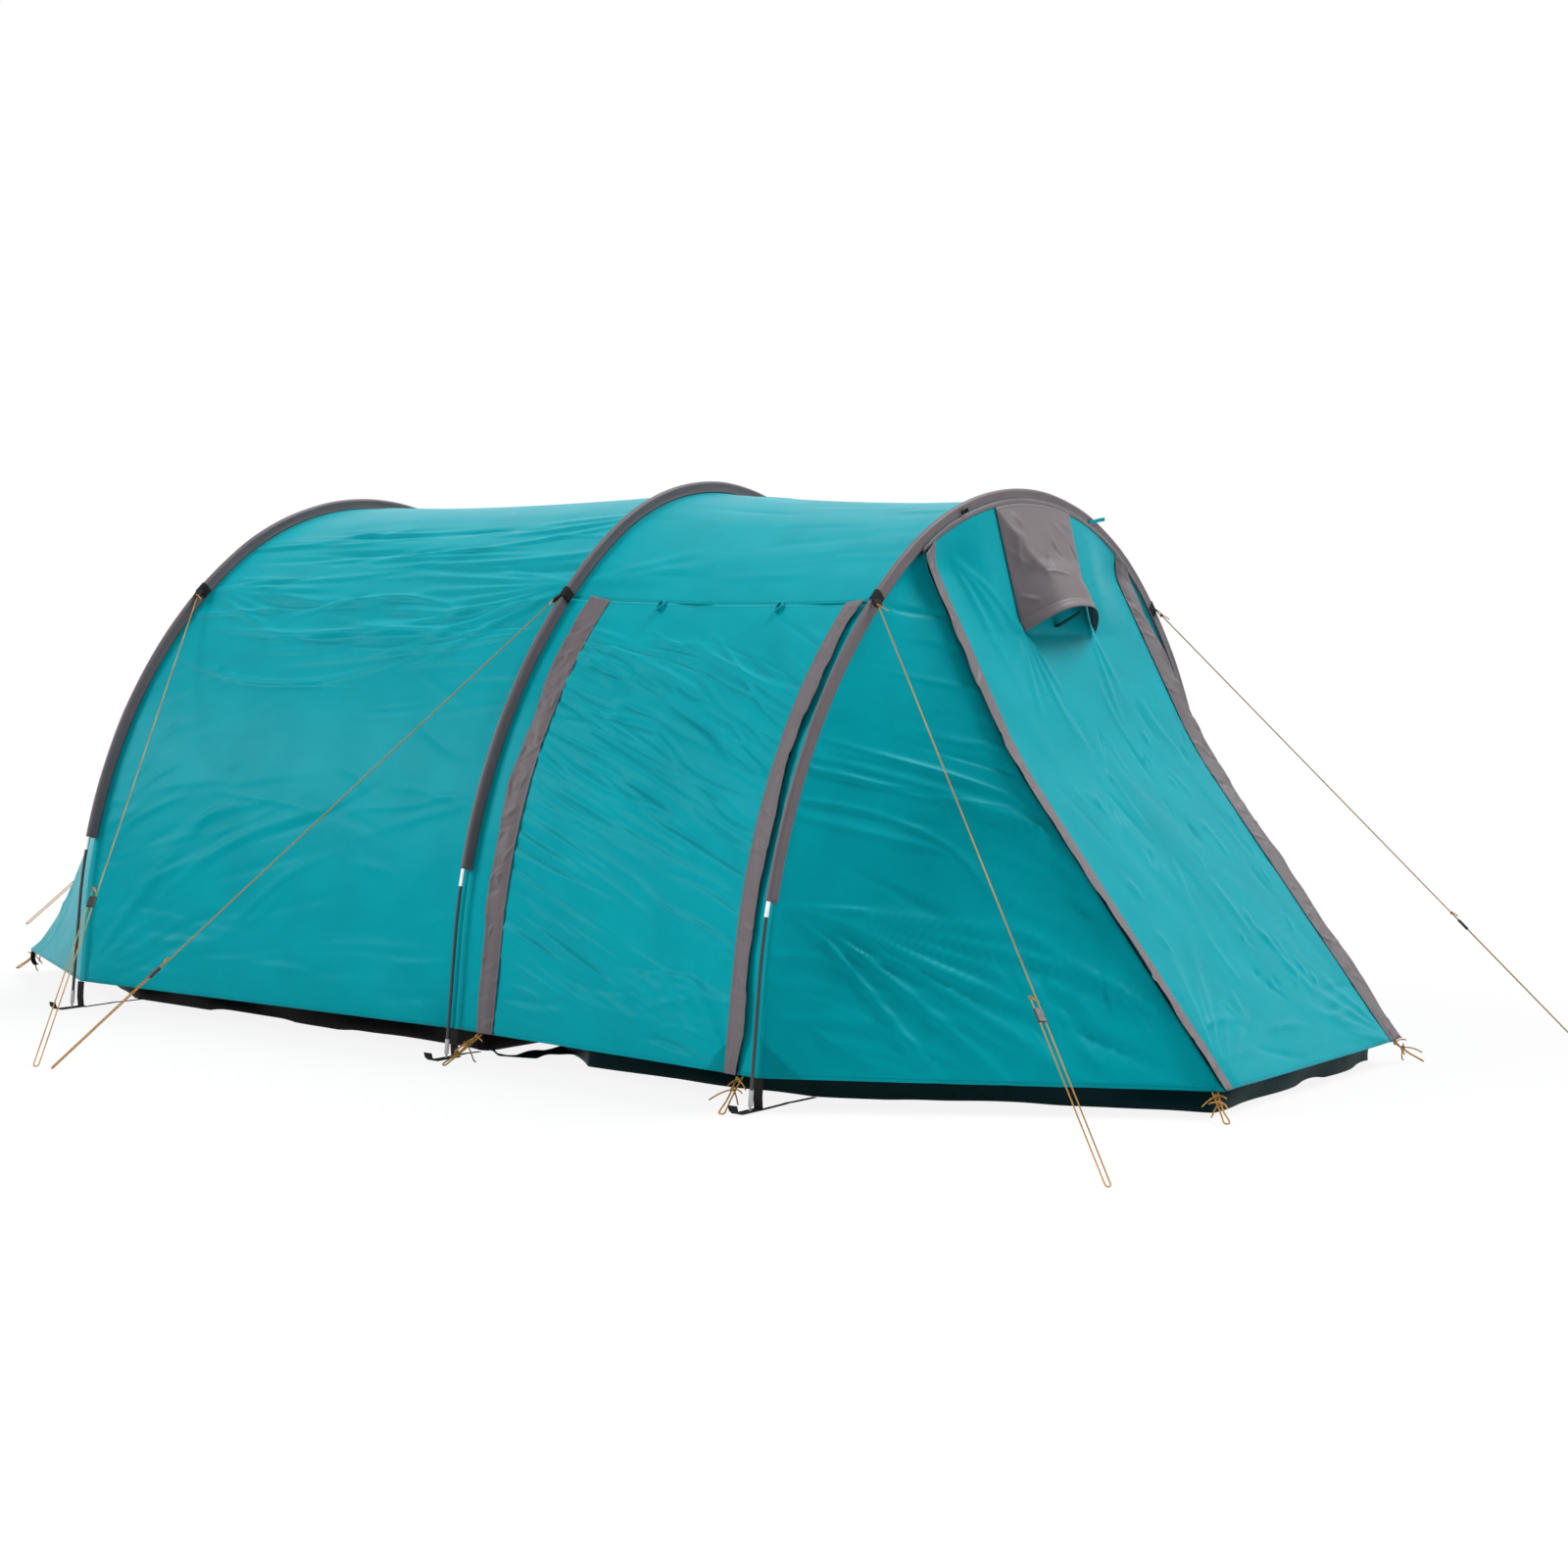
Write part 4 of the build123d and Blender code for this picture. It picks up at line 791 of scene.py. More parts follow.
def build_finishes():
    """All finishes of the tent."""
    colours = bpy.context.scene.tent_colours
    cloth_finish("teal_cloth", tuple(colours.fly), 0.34, 0.0, tint=(0.1, 0.9, 1.0), gleam=0.07)
    cloth_finish("taupe_cloth", tuple(colours.trim), 0.5, 0.05)
    cloth_finish("cabin_floor_cloth", tuple(colours.cabin_floor), 0.5, 0.0, 0.003, 0.8, gleam=0.1)
    cloth_finish("porch_floor_cloth", tuple(colours.porch_floor), 0.5, 0.0, 0.003, 0.8, gleam=0.1)
    cloth_finish("cabin_cloth", tuple(colours.inner), 0.7, 0.2)
    webbing_finish("black_webbing", (0.006, 0.006, 0.0065))
    cord_finish("amber_cord", tuple(colours.cord), 0.0045)
    cord_finish("pale_elastic", (0.55, 0.55, 0.5), 0.004)
    hard_finish("glass_fibre", (0.016, 0.018, 0.021), 0.28, coat=0.3)
    hard_finish("drawn_steel", (0.86, 0.86, 0.87), 0.3, metal=0.85, grain=500.0)
    hard_finish("cast_tip", (0.42, 0.42, 0.43), 0.4, metal=0.9)
    hard_finish("black_plastic", (0.007, 0.007, 0.0075), 0.48)
    hard_finish("black_metal", (0.02, 0.02, 0.022), 0.35, metal=0.4)
    mesh_finish("insect_mesh", (0.012, 0.014, 0.015))
    zip_finish("coil_zip", (0.01, 0.014, 0.015))


def fold_depth():
    """Share by which all folds are scaled."""
    return bpy.context.scene.tent_sizes.folds


def panel(name, x0, x1, low, high, cells, folds, node, rows=None, lift=0.0, body="tent", patch=None):
    """Teal cloth of a bay; folds(x, s) takes metres along the tent and above the panel's lower edge."""
    place = bay(x0, x1, low, high)
    first, second = pole_line(x0), pole_line(x1)
    span = (high(first) - low(first) + high(second) - low(second)) / 2
    base = (low(first) + low(second)) / 2

    def relief(u, v):
        x, s = x0 + u * (x1 - x0), v * span
        ground = np.minimum(base + s, (first.length + second.length) / 2 - base - s)
        sewn = smooth(np.minimum(u, 1 - u) * (x1 - x0) / 0.05)
        return lift + bay_slack(x, ground - HEM) + fold_depth() * folds(x, s) * sewn

    piece = drape(name, place, cells, relief, rows=rows, patch=patch)
    dress(piece, body, [node], "teal_cloth")
    return piece


def near_dense(v):
    """Rows of a whole arch, closer together on the near half."""
    return np.where(v < 0.62, v * 0.5 / 0.62, 0.5 + (v - 0.62) * 0.5 / 0.38)


def rear_bay_folds(x, s):
    """Long level folds on the shoulder, fans from the guy tabs, short and slanting creases lower down."""
    a = x - X_REAR
    m = np.minimum(s, CABIN_GIRTH - s)
    b = np.where(s < CABIN_GIRTH / 2, a, BEDROOM_BAY - a)
    folds = strewn(b, m, REAR_BAY_CREASES) + fans(a, m, REAR_BAY_FANS)
    folds += 0.0018 * pulls(a, s, 0.2, 0.45, 0.15, 21) * zone(m, 0.2, 1.1, 0.3)
    return folds + 0.0022 * pulls(a, s, 0.0, 0.7, 0.16, 31) * zone(m, 1.5, 2.5, 0.3)


def porch_roof_folds(x, s):
    """Faint level waves over the porch."""
    a = x - X_MID
    folds = strewn(a, s, PORCH_ROOF_CREASES) + fans(a, s, PORCH_ROOF_FANS)
    return folds + 0.0022 * pulls(a, s, 0.03, 0.5, 0.14, 43)


def far_wall_folds(x, s):
    """Slanting pulls on the far wall of the porch."""
    a = x - X_MID
    folds = fans(a, s, FAR_WALL_FANS) + strewn(a, s, FAR_WALL_CREASES)
    return folds + 0.0025 * pulls(a, s, -0.45, 0.4, 0.12, 55)


def margin_folds(x, s):
    """Puckers of the narrow strips beside the side door."""
    return 0.0012 * pulls(x, s, 0.25, 0.12, 0.06, 61)


def side_door_folds(x, s):
    """Many slanting pulls, down towards the front."""
    a = x - X_DOOR_REAR
    folds = strewn(a, s, SIDE_DOOR_CREASES) + fans(a, s, SIDE_DOOR_FANS)
    return folds + 0.0026 * pulls(a, s, -0.40, 0.40, 0.12, 79)


class TENT_OT_flysheet(bpy.types.Operator):
    """Cloth over the cabin and the porch, and the sloping rear end"""

    bl_idname = "tent.flysheet"
    bl_label = "Flysheet"

    def execute(self, context):
        rear = panel("rear_canopy_cloth", X_REAR, X_MID, near_hem, far_hem, (110, 420), rear_bay_folds,
                     "rear_bay_canopy", near_dense)
        declare_cloth(rear)
        roof = panel("porch_roof_cloth", X_MID, X_FRONT, near_seam, far_seam, (84, 110), porch_roof_folds,
                     "middle_bay_roof")
        declare_cloth(roof)
        far = panel("porch_far_wall_cloth", X_MID, X_FRONT, far_seam, far_hem, (90, 105),
                    lambda x, s: far_wall_folds(x, SIDE_DOOR_RUN - s), "middle_bay_far_wall")
        declare_cloth(far)
        for side, x0, x1 in (("rear", X_MID, MARGIN_REAR), ("front", MARGIN_FRONT, X_FRONT)):
            strip = panel(f"side_door_{side}_margin_cloth", x0, x1, near_hem, near_seam, (10, 110),
                          margin_folds, f"side_door_{side}_margin")
            declare_cloth(strip)
        self.rear_end()
        return {"FINISHED"}

    def rear_end(self):
        """Cloth from the rear arch down to the rear hem."""
        low, high = near_hem(REAR_LINE), far_hem(REAR_LINE)

        def place(u, v):
            y, z = REAR_LINE.place(low + v * (high - low), SKIN)
            arch = spots(X_REAR, y, z)
            edge = -np.cos(pi * v) * REAR_HALF_WIDTH
            hem = spots(X_REAR_HEM, edge, HEM)
            return hem + (arch - hem) * u[:, None]

        def relief(u, v):
            a, s = u * 0.9, v * 3.6
            sink = -0.008 * 4 * u * (1 - u) * off_edges(v, 0.12)
            folds = strewn(a, s, REAR_END_CREASES) + fans(a, s, REAR_END_FANS)
            folds += 0.0030 * pulls(a, s, 0.15, 0.5, 0.14, 93)
            return sink + fold_depth() * folds * off_edges(u, 0.06)

        piece = drape("rear_end_cloth", place, (80, 190), relief)
        dress(piece, "tent", ["rear_end_panel"], "teal_cloth")
        declare_cloth(piece)


class TENT_OT_side_door(bpy.types.Operator):
    """Side door with its storm flaps and zips"""

    bl_idname = "tent.side_door"
    bl_label = "Side door"

    def execute(self, context):
        door = panel("side_door_cloth", X_DOOR_REAR, X_DOOR_FRONT, near_hem, door_head, (165, 230),
                     side_door_folds, "side_door_panel", lift=CLEAR, body="side_door",
                     patch=lambda u, v: (1 - u) * SIDE_DOOR_WIDTH / 0.085 + v * SIDE_DOOR_RUN / 0.10 < 1)
        flaps = [self.flap("rear", X_DOOR_REAR, 1), self.flap("front", X_DOOR_FRONT, -1)]
        declare_cloth(door)
        for flap in flaps:
            declare_cloth(flap)
        zips = []
        for x in (MARGIN_REAR, MARGIN_FRONT - ZIP):
            place = bay(x, x + ZIP, near_hem, near_seam)
            line = pole_line(x)
            span = near_seam(line) - near_hem(line)

            def relief(u, v, x=x, span=span):
                coil = 0.0012 * np.exp(-(((u - 0.5) / 0.22) ** 2))
                above_slider = smooth((v * span - 0.22) / 0.2)
                return bay_slack(x + u * ZIP, v * span) * above_slider + coil - 0.0013

            zips.append(drape("side_zip", place, (8, 120), relief, edge=False))
        tape = join("side_door_zip_tapes", zips)
        dress(tape, "tent", ["side_door_zips"], "coil_zip")
        return {"FINISHED"}

    def flap(self, side, edge, way):
        """Storm flap sewn to the door beside its zip, with a free waving edge over the zip."""
        root = edge + way * FLAP / 2
        free = root - way * FLAP
        x0, x1 = min(root, free), max(root, free)
        flat = bay(x0, x1, near_hem, door_head)
        line = pole_line(edge)
        span = door_head(line) - near_hem(line)
        seed = 101 if way > 0 else 111

        def place(u, v):
            s = v * span
            away = np.abs(x0 + u * (x1 - x0) - root) / FLAP
            sway = 0.10 * ripple(s / 0.16, v * 0 + 2, seed + 7)
            sway = sway + 0.06 * ripple(s / 0.055, v * 0 + 3, seed + 8)
            gather = 0.18 * smooth(1 - s / 0.10)
            stitched = 1.0 if way > 0 else 0.0
            return flat(u + sway * away + gather * (stitched - u), v)

        def relief(u, v):
            x, s = x0 + u * (x1 - x0), v * span
            away = np.abs(x - root) / FLAP
            wave = ripple(s / 0.12, away * 0.8, seed) + 0.6 * ripple(s / 0.05 + 4, away * 0.9, seed + 2)
            lift = 0.0030 + 0.0035 * smooth(away / 0.5) + 0.003 * away ** 2
            box = (0.0, FLAP, 0.0, span)
            crease = creases(x - x0, s, seed + 5, 60, box, 0.9 * way, 0.5, 0.05, 0.006, 0.0022)
            flutter = (wave + 1) * 0.0035 * away ** 1.5
            return CLEAR + lift + bay_slack(x, s) + flutter + np.maximum(crease, -0.002)

        piece = drape(f"side_door_{side}_flap", place, (18, 260), relief)
        dress(piece, "side_door", ["side_door_flaps"], "taupe_cloth")
        return piece


def leaf_place(half, knots):
    """Surface of the front door, as place(u, v) with v from the hem up and rows laid at the vent's edges."""
    (v1, low), (v2, high) = knots

    def place(u, v):
        y = -half + 2 * half * u
        top = arch_drop(y)
        l2 = np.maximum(high, top + 0.02)
        l1 = np.maximum(low, l2 + 0.05)
        upper = np.where(v < v2, l1 + (l2 - l1) * (v - v1) / (v2 - v1), l2 + (top - l2) * (v - v2) / (1 - v2))
        x, z = leaf_at(y, np.where(v < v1, DOOR.length + (l1 - DOOR.length) * v / v1, upper))
        return spots(x, y, z)

    return place


def front_door_folds(a, s):
    """Shallow dents, a pucker under the hood and creases from the near lower corner."""
    folds = strewn(a, s, FRONT_DOOR_CREASES) + fans(a, s, FRONT_DOOR_FANS)
    return folds + 0.0026 * pulls(a, s, 1.9, 0.35, 0.13, 127) * zone(s, 0.15, 1.05, 0.3)


class TENT_OT_front_door(bpy.types.Operator):
    """Front door leaf with mesh, flaps and zips, and the wings beside it"""

    bl_idname = "tent.front_door"
    bl_label = "Front door"

    def execute(self, context):
        vent_top = DOOR.place(VENT_DROP)[1]
        run = np.linspace(0, DOOR.length, 4000)
        vent_end = float(np.interp(-(vent_top - VENT_HEIGHT), -DOOR.place(run)[1], run))
        rows = 240
        knots = ((1 - 39 / rows, vent_end), (1 - 14 / rows, VENT_DROP))

        def relief(u, v):
            a, s = (u - 0.5) * 2 * DOOR_HALF_WIDTH, v * DOOR.length
            sewn = smooth(np.minimum(u, 1 - u) * 2 * DOOR_HALF_WIDTH / 0.06) * smooth((1 - v) / 0.03)
            bow = 0.006 * np.sin(pi * u) * zone(s, 0.1, 1.0, 0.3)
            return (fold_depth() * front_door_folds(a, s) + bow) * sewn

        def vent(centre):
            return abs(centre.y) < VENT_HALF and vent_top - VENT_HEIGHT < centre.z < vent_top

        leaf = drape("front_door_cloth", leaf_place(DOOR_HALF_WIDTH, knots), (140, rows), relief, cut=vent)
        dress(leaf, "front_door", ["front_door_panel"], "teal_cloth")
        mesh = drape("vent_mesh_cloth", self.vent_place(vent_end), (28, 16),
                     lambda u, v: -0.004 * np.sin(pi * u) * np.sin(pi * v), thick=0.0006)
        dress(mesh, "front_door", ["vent_mesh"], "insect_mesh")
        head = drape("front_door_head_band", self.head_place, (140, 6))
        dress(head, "front_door", ["front_door_panel"], "taupe_cloth")
        declare_cloth(head)
        declare_cloth(leaf)
        declare_cloth(mesh)
        tapes = []
        for side, way in SIDES:
            flap = self.flap(side, way)
            declare_cloth(flap)
            tapes.append(self.zip_tape(way))
            wing = self.wing(side, way)
            declare_cloth(wing)
        tape = join("front_door_zip_tapes", tapes)
        dress(tape, "tent", ["front_door_zips"], "coil_zip")
        return {"FINISHED"}

    def vent_place(self, vent_end):
        """Surface of the mesh in the door's vent."""

        def place(u, v):
            y = (2 * u - 1) * (VENT_HALF + 0.002)
            x, z = leaf_at(y, vent_end + (VENT_DROP - vent_end) * v, -0.0008)
            return spots(x, y, z)

        return place

    def head_place(self, u, v):
        """Band along the door's upper edge, with puckers beside its seams."""
        y = (2 * u - 1) * (DOOR_HALF_WIDTH + FLAP / 2)
        puckers = 0.0012 * ripple(y / 0.025, v * 0.7, 131) * np.sin(pi * v)
        x, z = leaf_at(y, arch_drop(y) + HEAD_BAND * (1 - v), 0.0016 + 0.0012 * np.sin(pi * v) + puckers)
        return spots(x, y, z)

    def flap(self, side, way):
        """Storm flap sewn to the door, with its free edge over the zip and the wing."""
        root = DOOR_HALF_WIDTH - FLAP / 2
        seed = 141 if way < 0 else 151

        def place(u, v):
            share = outward(u, way)
            s = (1 - v) * DOOR.length
            sway = 0.10 * ripple(s / 0.18, v * 0 + 2, seed + 7) + 0.05 * ripple(s / 0.06, v * 0 + 3, seed + 8)
            y = root + FLAP * share * (1 + sway)
            top = arch_drop(y) + HEAD_BAND - 0.002
            run = top + (DOOR.length - top) * (1 - v)
            wave = ripple(s / 0.16, share * 0.8, seed) + 0.6 * ripple(s / 0.06 + 4, share * 0.9, seed + 2)
            off = 0.0028 + 0.0045 * smooth(share / 0.5) + 0.002 * share ** 2
            off = off + (wave + 1) * 0.003 * share ** 1.5
            box = (0.0, FLAP, 0.0, DOOR.length)
            fold = creases(y - root, s, seed + 5, 60, box, 0.9, 0.5, 0.05, 0.006, 0.0020)
            off = off + np.maximum(fold, -0.002)
            x, z = DOOR.place(run, off)
            return spots(x, way * y, z)

        piece = drape(f"front_door_{side}_flap", place, (18, 270))
        dress(piece, "front_door", ["front_door_flaps"], "taupe_cloth")
        return piece

    def zip_tape(self, way):
        """Zip beside the door."""

        def place(u, v):
            share = outward(u, way)
            y = ZIP_SIDE + ZIP * share
            top = arch_drop(y)
            run = top + (DOOR.length - top) * (1 - v)
            x, z = DOOR.place(run, 0.0012 * np.exp(-(((u - 0.5) / 0.22) ** 2)) - 0.0008)
            return spots(x, way * y, z)

        return drape("front_zip", place, (8, 150), edge=False)

    def wing(self, side, way):
        """Cloth between the arch's leg, the zip and the ground."""
        top = FRONT_LINE.at_height(DOOR.place(DOOR.cuts[1])[1], SKIN)
        mid = (LEG + FRONT_LINE.mark) / 2
        arch_cuts = [near_hem(FRONT_LINE), LEG, mid, FRONT_LINE.mark, top]
        door_cuts = DOOR.cuts[:0:-1]

        def place(u, v):
            share = outward(u, -way)
            k = v * 4
            y0, z0 = FRONT_LINE.place(np.interp(k, range(5), arch_cuts), SKIN)
            x1, z1 = DOOR.place(np.interp(k, range(5), door_cuts))
            x = X_FRONT + (x1 - X_FRONT) * share
            y = y0 + (-WING_EDGE - y0) * share
            return spots(x, -way * y, z0 + (z1 - z0) * share)

        def rows(v):
            knots = np.array([0] + [c - arch_cuts[0] for c in arch_cuts[1:]])
            return np.interp(v, knots / knots[-1], np.linspace(0, 1, 5))

        def relief(u, v):
            share = outward(u, -way)
            points = place(u, v)
            a, s = (points[:, 0] - X_FRONT) * 1.25, points[:, 2]
            sink = -0.020 * 4 * share * (1 - share) * smooth(v / 0.2)
            folds = strewn(a, s, WING_CREASES) + fans(a, s, WING_FANS)
            folds += 0.0024 * pulls(a, s, -0.35, 0.45, 0.13, 169)
            return sink + fold_depth() * folds * off_edges(u, 0.05)

        def corner(u, v):
            share = outward(u, -way)
            return share * 1.05 / 0.10 + (place(u, v)[:, 2] - HEM) / 0.09 < 1

        piece = drape(f"front_{side}_wing_cloth", place, (160, 240), relief, rows=rows, patch=corner)
        dress(piece, "tent", [f"front_{side}_wing"], "teal_cloth")
        return piece


class TENT_OT_sleeves(bpy.types.Operator):
    """Pole sleeves on the three arches"""

    bl_idname = "tent.sleeves"
    bl_label = "Pole sleeves"

    def execute(self, context):
        side = [(0.0083, -0.0232), (0.0068, -0.019), (0.0063, -0.012), (0.0065, -0.005)]
        round_top = [(0.0068 * cos(t), 0.0068 * sin(t)) for t in np.linspace(0, pi, 11)]
        loop = np.array(side + round_top + [(-a, b) for a, b in reversed(side)] + [side[0]])
        marks = marks_along(loop)
        for k, (name, x) in enumerate(ARCHES.items()):
            line = pole_line(x)
            start = line.at_height(SLEEVE_LEG)
            end = line.length - start

            def place(u, v, line=line, start=start, end=end, x=x, k=k):
                s = start + (end - start) * v
                a, b = walk(u * marks[-1], marks, loop).T
                free = smooth((b + 0.0225) / 0.006)
                bulge = 0.05 * ripple(s / 0.09, b * 60 + 3, 171 + k) + 0.05 * ripple(s / 0.03, b * 90, 175 + k)
                swell = 1 + free * bulge
                shift = free * 0.0006 * ripple(s / 0.12, b * 0 + 1, 178 + k)
                y, z = line.place(s, np.minimum(b * (1 - 0.02 * free) + shift, 0.0074))
                return spots(x + a * swell, y, z)

            piece = drape(f"{name}_arch_sleeve_cloth", place, (36, 330), weld=True, thick=0.0008, edge=False)
            dress(piece, "tent", [f"{name}_arch_sleeve"], "taupe_cloth")
            declare_cloth(piece)
        return {"FINISHED"}


class TENT_OT_vent_hood(bpy.types.Operator):
    """Hood over the vent, with its turned rim"""

    bl_idname = "tent.vent_hood"
    bl_label = "Vent hood"

    def execute(self, context):
        def place(u, v):
            a, b = 2 * u - 1, 1 - v
            y = a * (HOOD_TOP_HALF + (HOOD_RIM_HALF - HOOD_TOP_HALF) * b)
            side = 1 - np.abs(a) ** (1 + 1.1 * smooth((b - 0.55) / 0.45))
            h = HOOD_BULGE * ((b + 0.01) ** -14.0 + (side + 0.01) ** -14.0) ** (-1 / 14)
            loose = np.clip(1 - np.abs(a), 0.1, 1)
            h = h + 0.0035 * ripple(b * 5, a * 2 + 3, 181) * b * loose
            box = (-0.16, 0.16, 0.02, 0.28)
            h = h + creases(y, b * HOOD_LENGTH, 183, 16, box, 1.1, 0.5, 0.09, 0.010, 0.0026)
            h = h + (0.0016 + 0.006 * smooth((b - 0.918) / 0.08)) * (b > 0.918)
            top = arch_drop(y) + HEAD_BAND - 0.001
            end = HOOD_DROP + HOOD_LENGTH - 0.032 * (1 - a * a)
            x, z = leaf_at(y, top + (end - top) * b, HOOD_LIFT + h)
            return spots(x, y, z)

        hood = drape("vent_hood_cloth", place, (90, 98), thick=0.0014)
        dress(hood, "front_door", ["vent_hood"], "taupe_cloth")
        declare_cloth(hood)
        return {"FINISHED"}


class TENT_OT_floors(bpy.types.Operator):
    """Tub floors of the cabin and the porch"""

    bl_idname = "tent.floors"
    bl_label = "Floors"

    def execute(self, context):
        tuck_half = FLOOR_MID_HALF + (FLOOR_END_HALF - FLOOR_MID_HALF) * PORCH_TUCK_ALONG / PORCH_BAY
        plans = {
            "bedroom_floor": [
                (X_REAR_HEM + FLOOR_REAR_INSET, FLOOR_REAR_HALF), (X_REAR, FLOOR_END_HALF),
                (X_MID - FLOOR_JOINT, FLOOR_MID_HALF),
            ],
            "porch_floor": [
                (X_MID + FLOOR_JOINT, FLOOR_MID_HALF - PORCH_TUCK_IN),
                (X_MID + FLOOR_JOINT + PORCH_TUCK_ALONG, tuck_half),
                (X_FRONT, FLOOR_END_HALF),
                (X_FRONT_HEM - FLOOR_INSET, FLOOR_FRONT_HALF),
            ],
        }
        for k, (name, plan) in enumerate(plans.items()):
            finish = "cabin_floor_cloth" if k == 0 else "porch_floor_cloth"
            piece = self.tub(name, plan, 201 + 10 * k)
            if name == "porch_floor":
                piece = join(piece.name, [piece, self.tongue()])
            dress(piece, "tent", [name], finish)
            declare_cloth(piece)
        return {"FINISHED"}

    def tongue(self):
        """Loose corner of the porch floor that lies on the ground behind the side door, its tip turned up."""
        shares = (0.0, 0.35, 0.7, 0.92, 1.0)
        left = ((0.162, -0.730), (0.176, -0.850), (0.172, -0.945), (0.146, -0.978), (0.129, -0.988))
        right = ((0.286, -0.828), (0.246, -0.884), (0.246, -0.952), (0.160, -0.988), (0.133, -0.994))

        def place(u, v):
            first, second = (walk(u, shares, np.array(side)) for side in (left, right))
            x, y = (first + (second - first) * v[:, None]).T
            z = 0.0035 + 0.004 * (1 + ripple(u * 4, v * 1.5, 231)) * smooth(u / 0.2)
            z = z + 0.012 * smooth((u - 0.93) / 0.07)
            return spots(x, y, z)

        return drape("porch_tongue", place, (60, 12), thick=0.0016, edge=False)

    def tub(self, name, plan, seed):
        """Floor sheet turned up at its border into a limp low wall."""
        ring = [(x, -h) for x, h in plan] + [(x, h) for x, h in reversed(plan)]
        ring = np.array(ring + ring[:1])
        marks = marks_along(ring)
        middle = np.array([ring[:-1, 0].mean(), 0.0])

        def place(u, v):
            run = u * marks[-1]
            edge = walk(run, marks, ring)
            inward = middle - edge
            inward /= np.linalg.norm(inward, axis=1)[:, None]
            flat = np.clip(v / 0.6, 0, 1)
            up = np.clip((v - 0.6) / 0.4, 0, 1)
            fade = smooth(np.minimum(u, 1 - u) * 30)
            bag = (0.012 * ripple(run / 0.17, up * 1.2, seed) + 0.014) * np.cos(pi * up / 2) * fade * flat
            lean = 0.010 * up * (1 + ripple(run / 0.25, up * 0 + 2, seed + 1) * fade)
            spot = middle + (edge - middle) * flat[:, None] * 0.9985 + inward * (lean - bag)[:, None]
            rim = 1 - 0.16 * (0.5 + 0.5 * ripple(run / 0.2, up * 0 + 5, seed + 2) * fade)
            lift = np.maximum(0.012 * ripple(run / 0.17, up * 0 + 9, seed + 4) - 0.001, 0) * fade
            z = 0.0028 + lift * smooth((flat - 0.86) / 0.14) + up * (TUB - 0.004 - lift) * rim
            dents = 0.004 * np.clip(crumple(spot[:, 0], spot[:, 1], 0.2, seed + 3), -0.2, 1)
            z = z + dents * (up == 0) * flat * (1 - flat) * 3
            return spots(spot[:, 0], spot[:, 1], z)

        return drape(f"{name}_cloth", place, (260, 40), weld=True, thick=0.0016, edge=False)


def spread(points, centre, count):
    """Closed outline read again at equal turns round a centre, as (Y, Z) points."""
    angle = np.unwrap(np.arctan2(points[:, 1] - centre[1], points[:, 0] - centre[0]))
    if angle[-1] < angle[0]:
        angle, points = angle[::-1], points[::-1]
    turns = np.linspace(0, 2 * pi, count + 1)
    whole = np.concatenate([angle[:-1] - 2 * pi, angle, angle[1:] + 2 * pi])
    ring = np.concatenate([points[:-1], points, points[1:]])
    return walk(turns, whole, ring)


def doorway(grow):
    """Outline of the cabin's doorway with round corners, grown by a lap."""
    wide, radius = INNER_DOOR_HALF + grow, INNER_DOOR_HALF / 3 + grow
    low = TUB + CLEAR + INNER_DOOR_SILL - grow
    high = TUB + CLEAR + INNER_DOOR_SILL + INNER_DOOR_RISE + grow
    points = []
    for y, z, start in ((1, 1, 0), (-1, 1, 90), (-1, -1, 180), (1, -1, 270)):
        cy, cz = y * (wide - radius), (high if z > 0 else low) - z * radius
        for turn in np.radians(np.linspace(start, start + 90, 9)):
            points.append((cy + radius * cos(turn), cz + radius * sin(turn)))
    return np.array(points + points[:1]), np.array([0.0, (low + high) / 2])


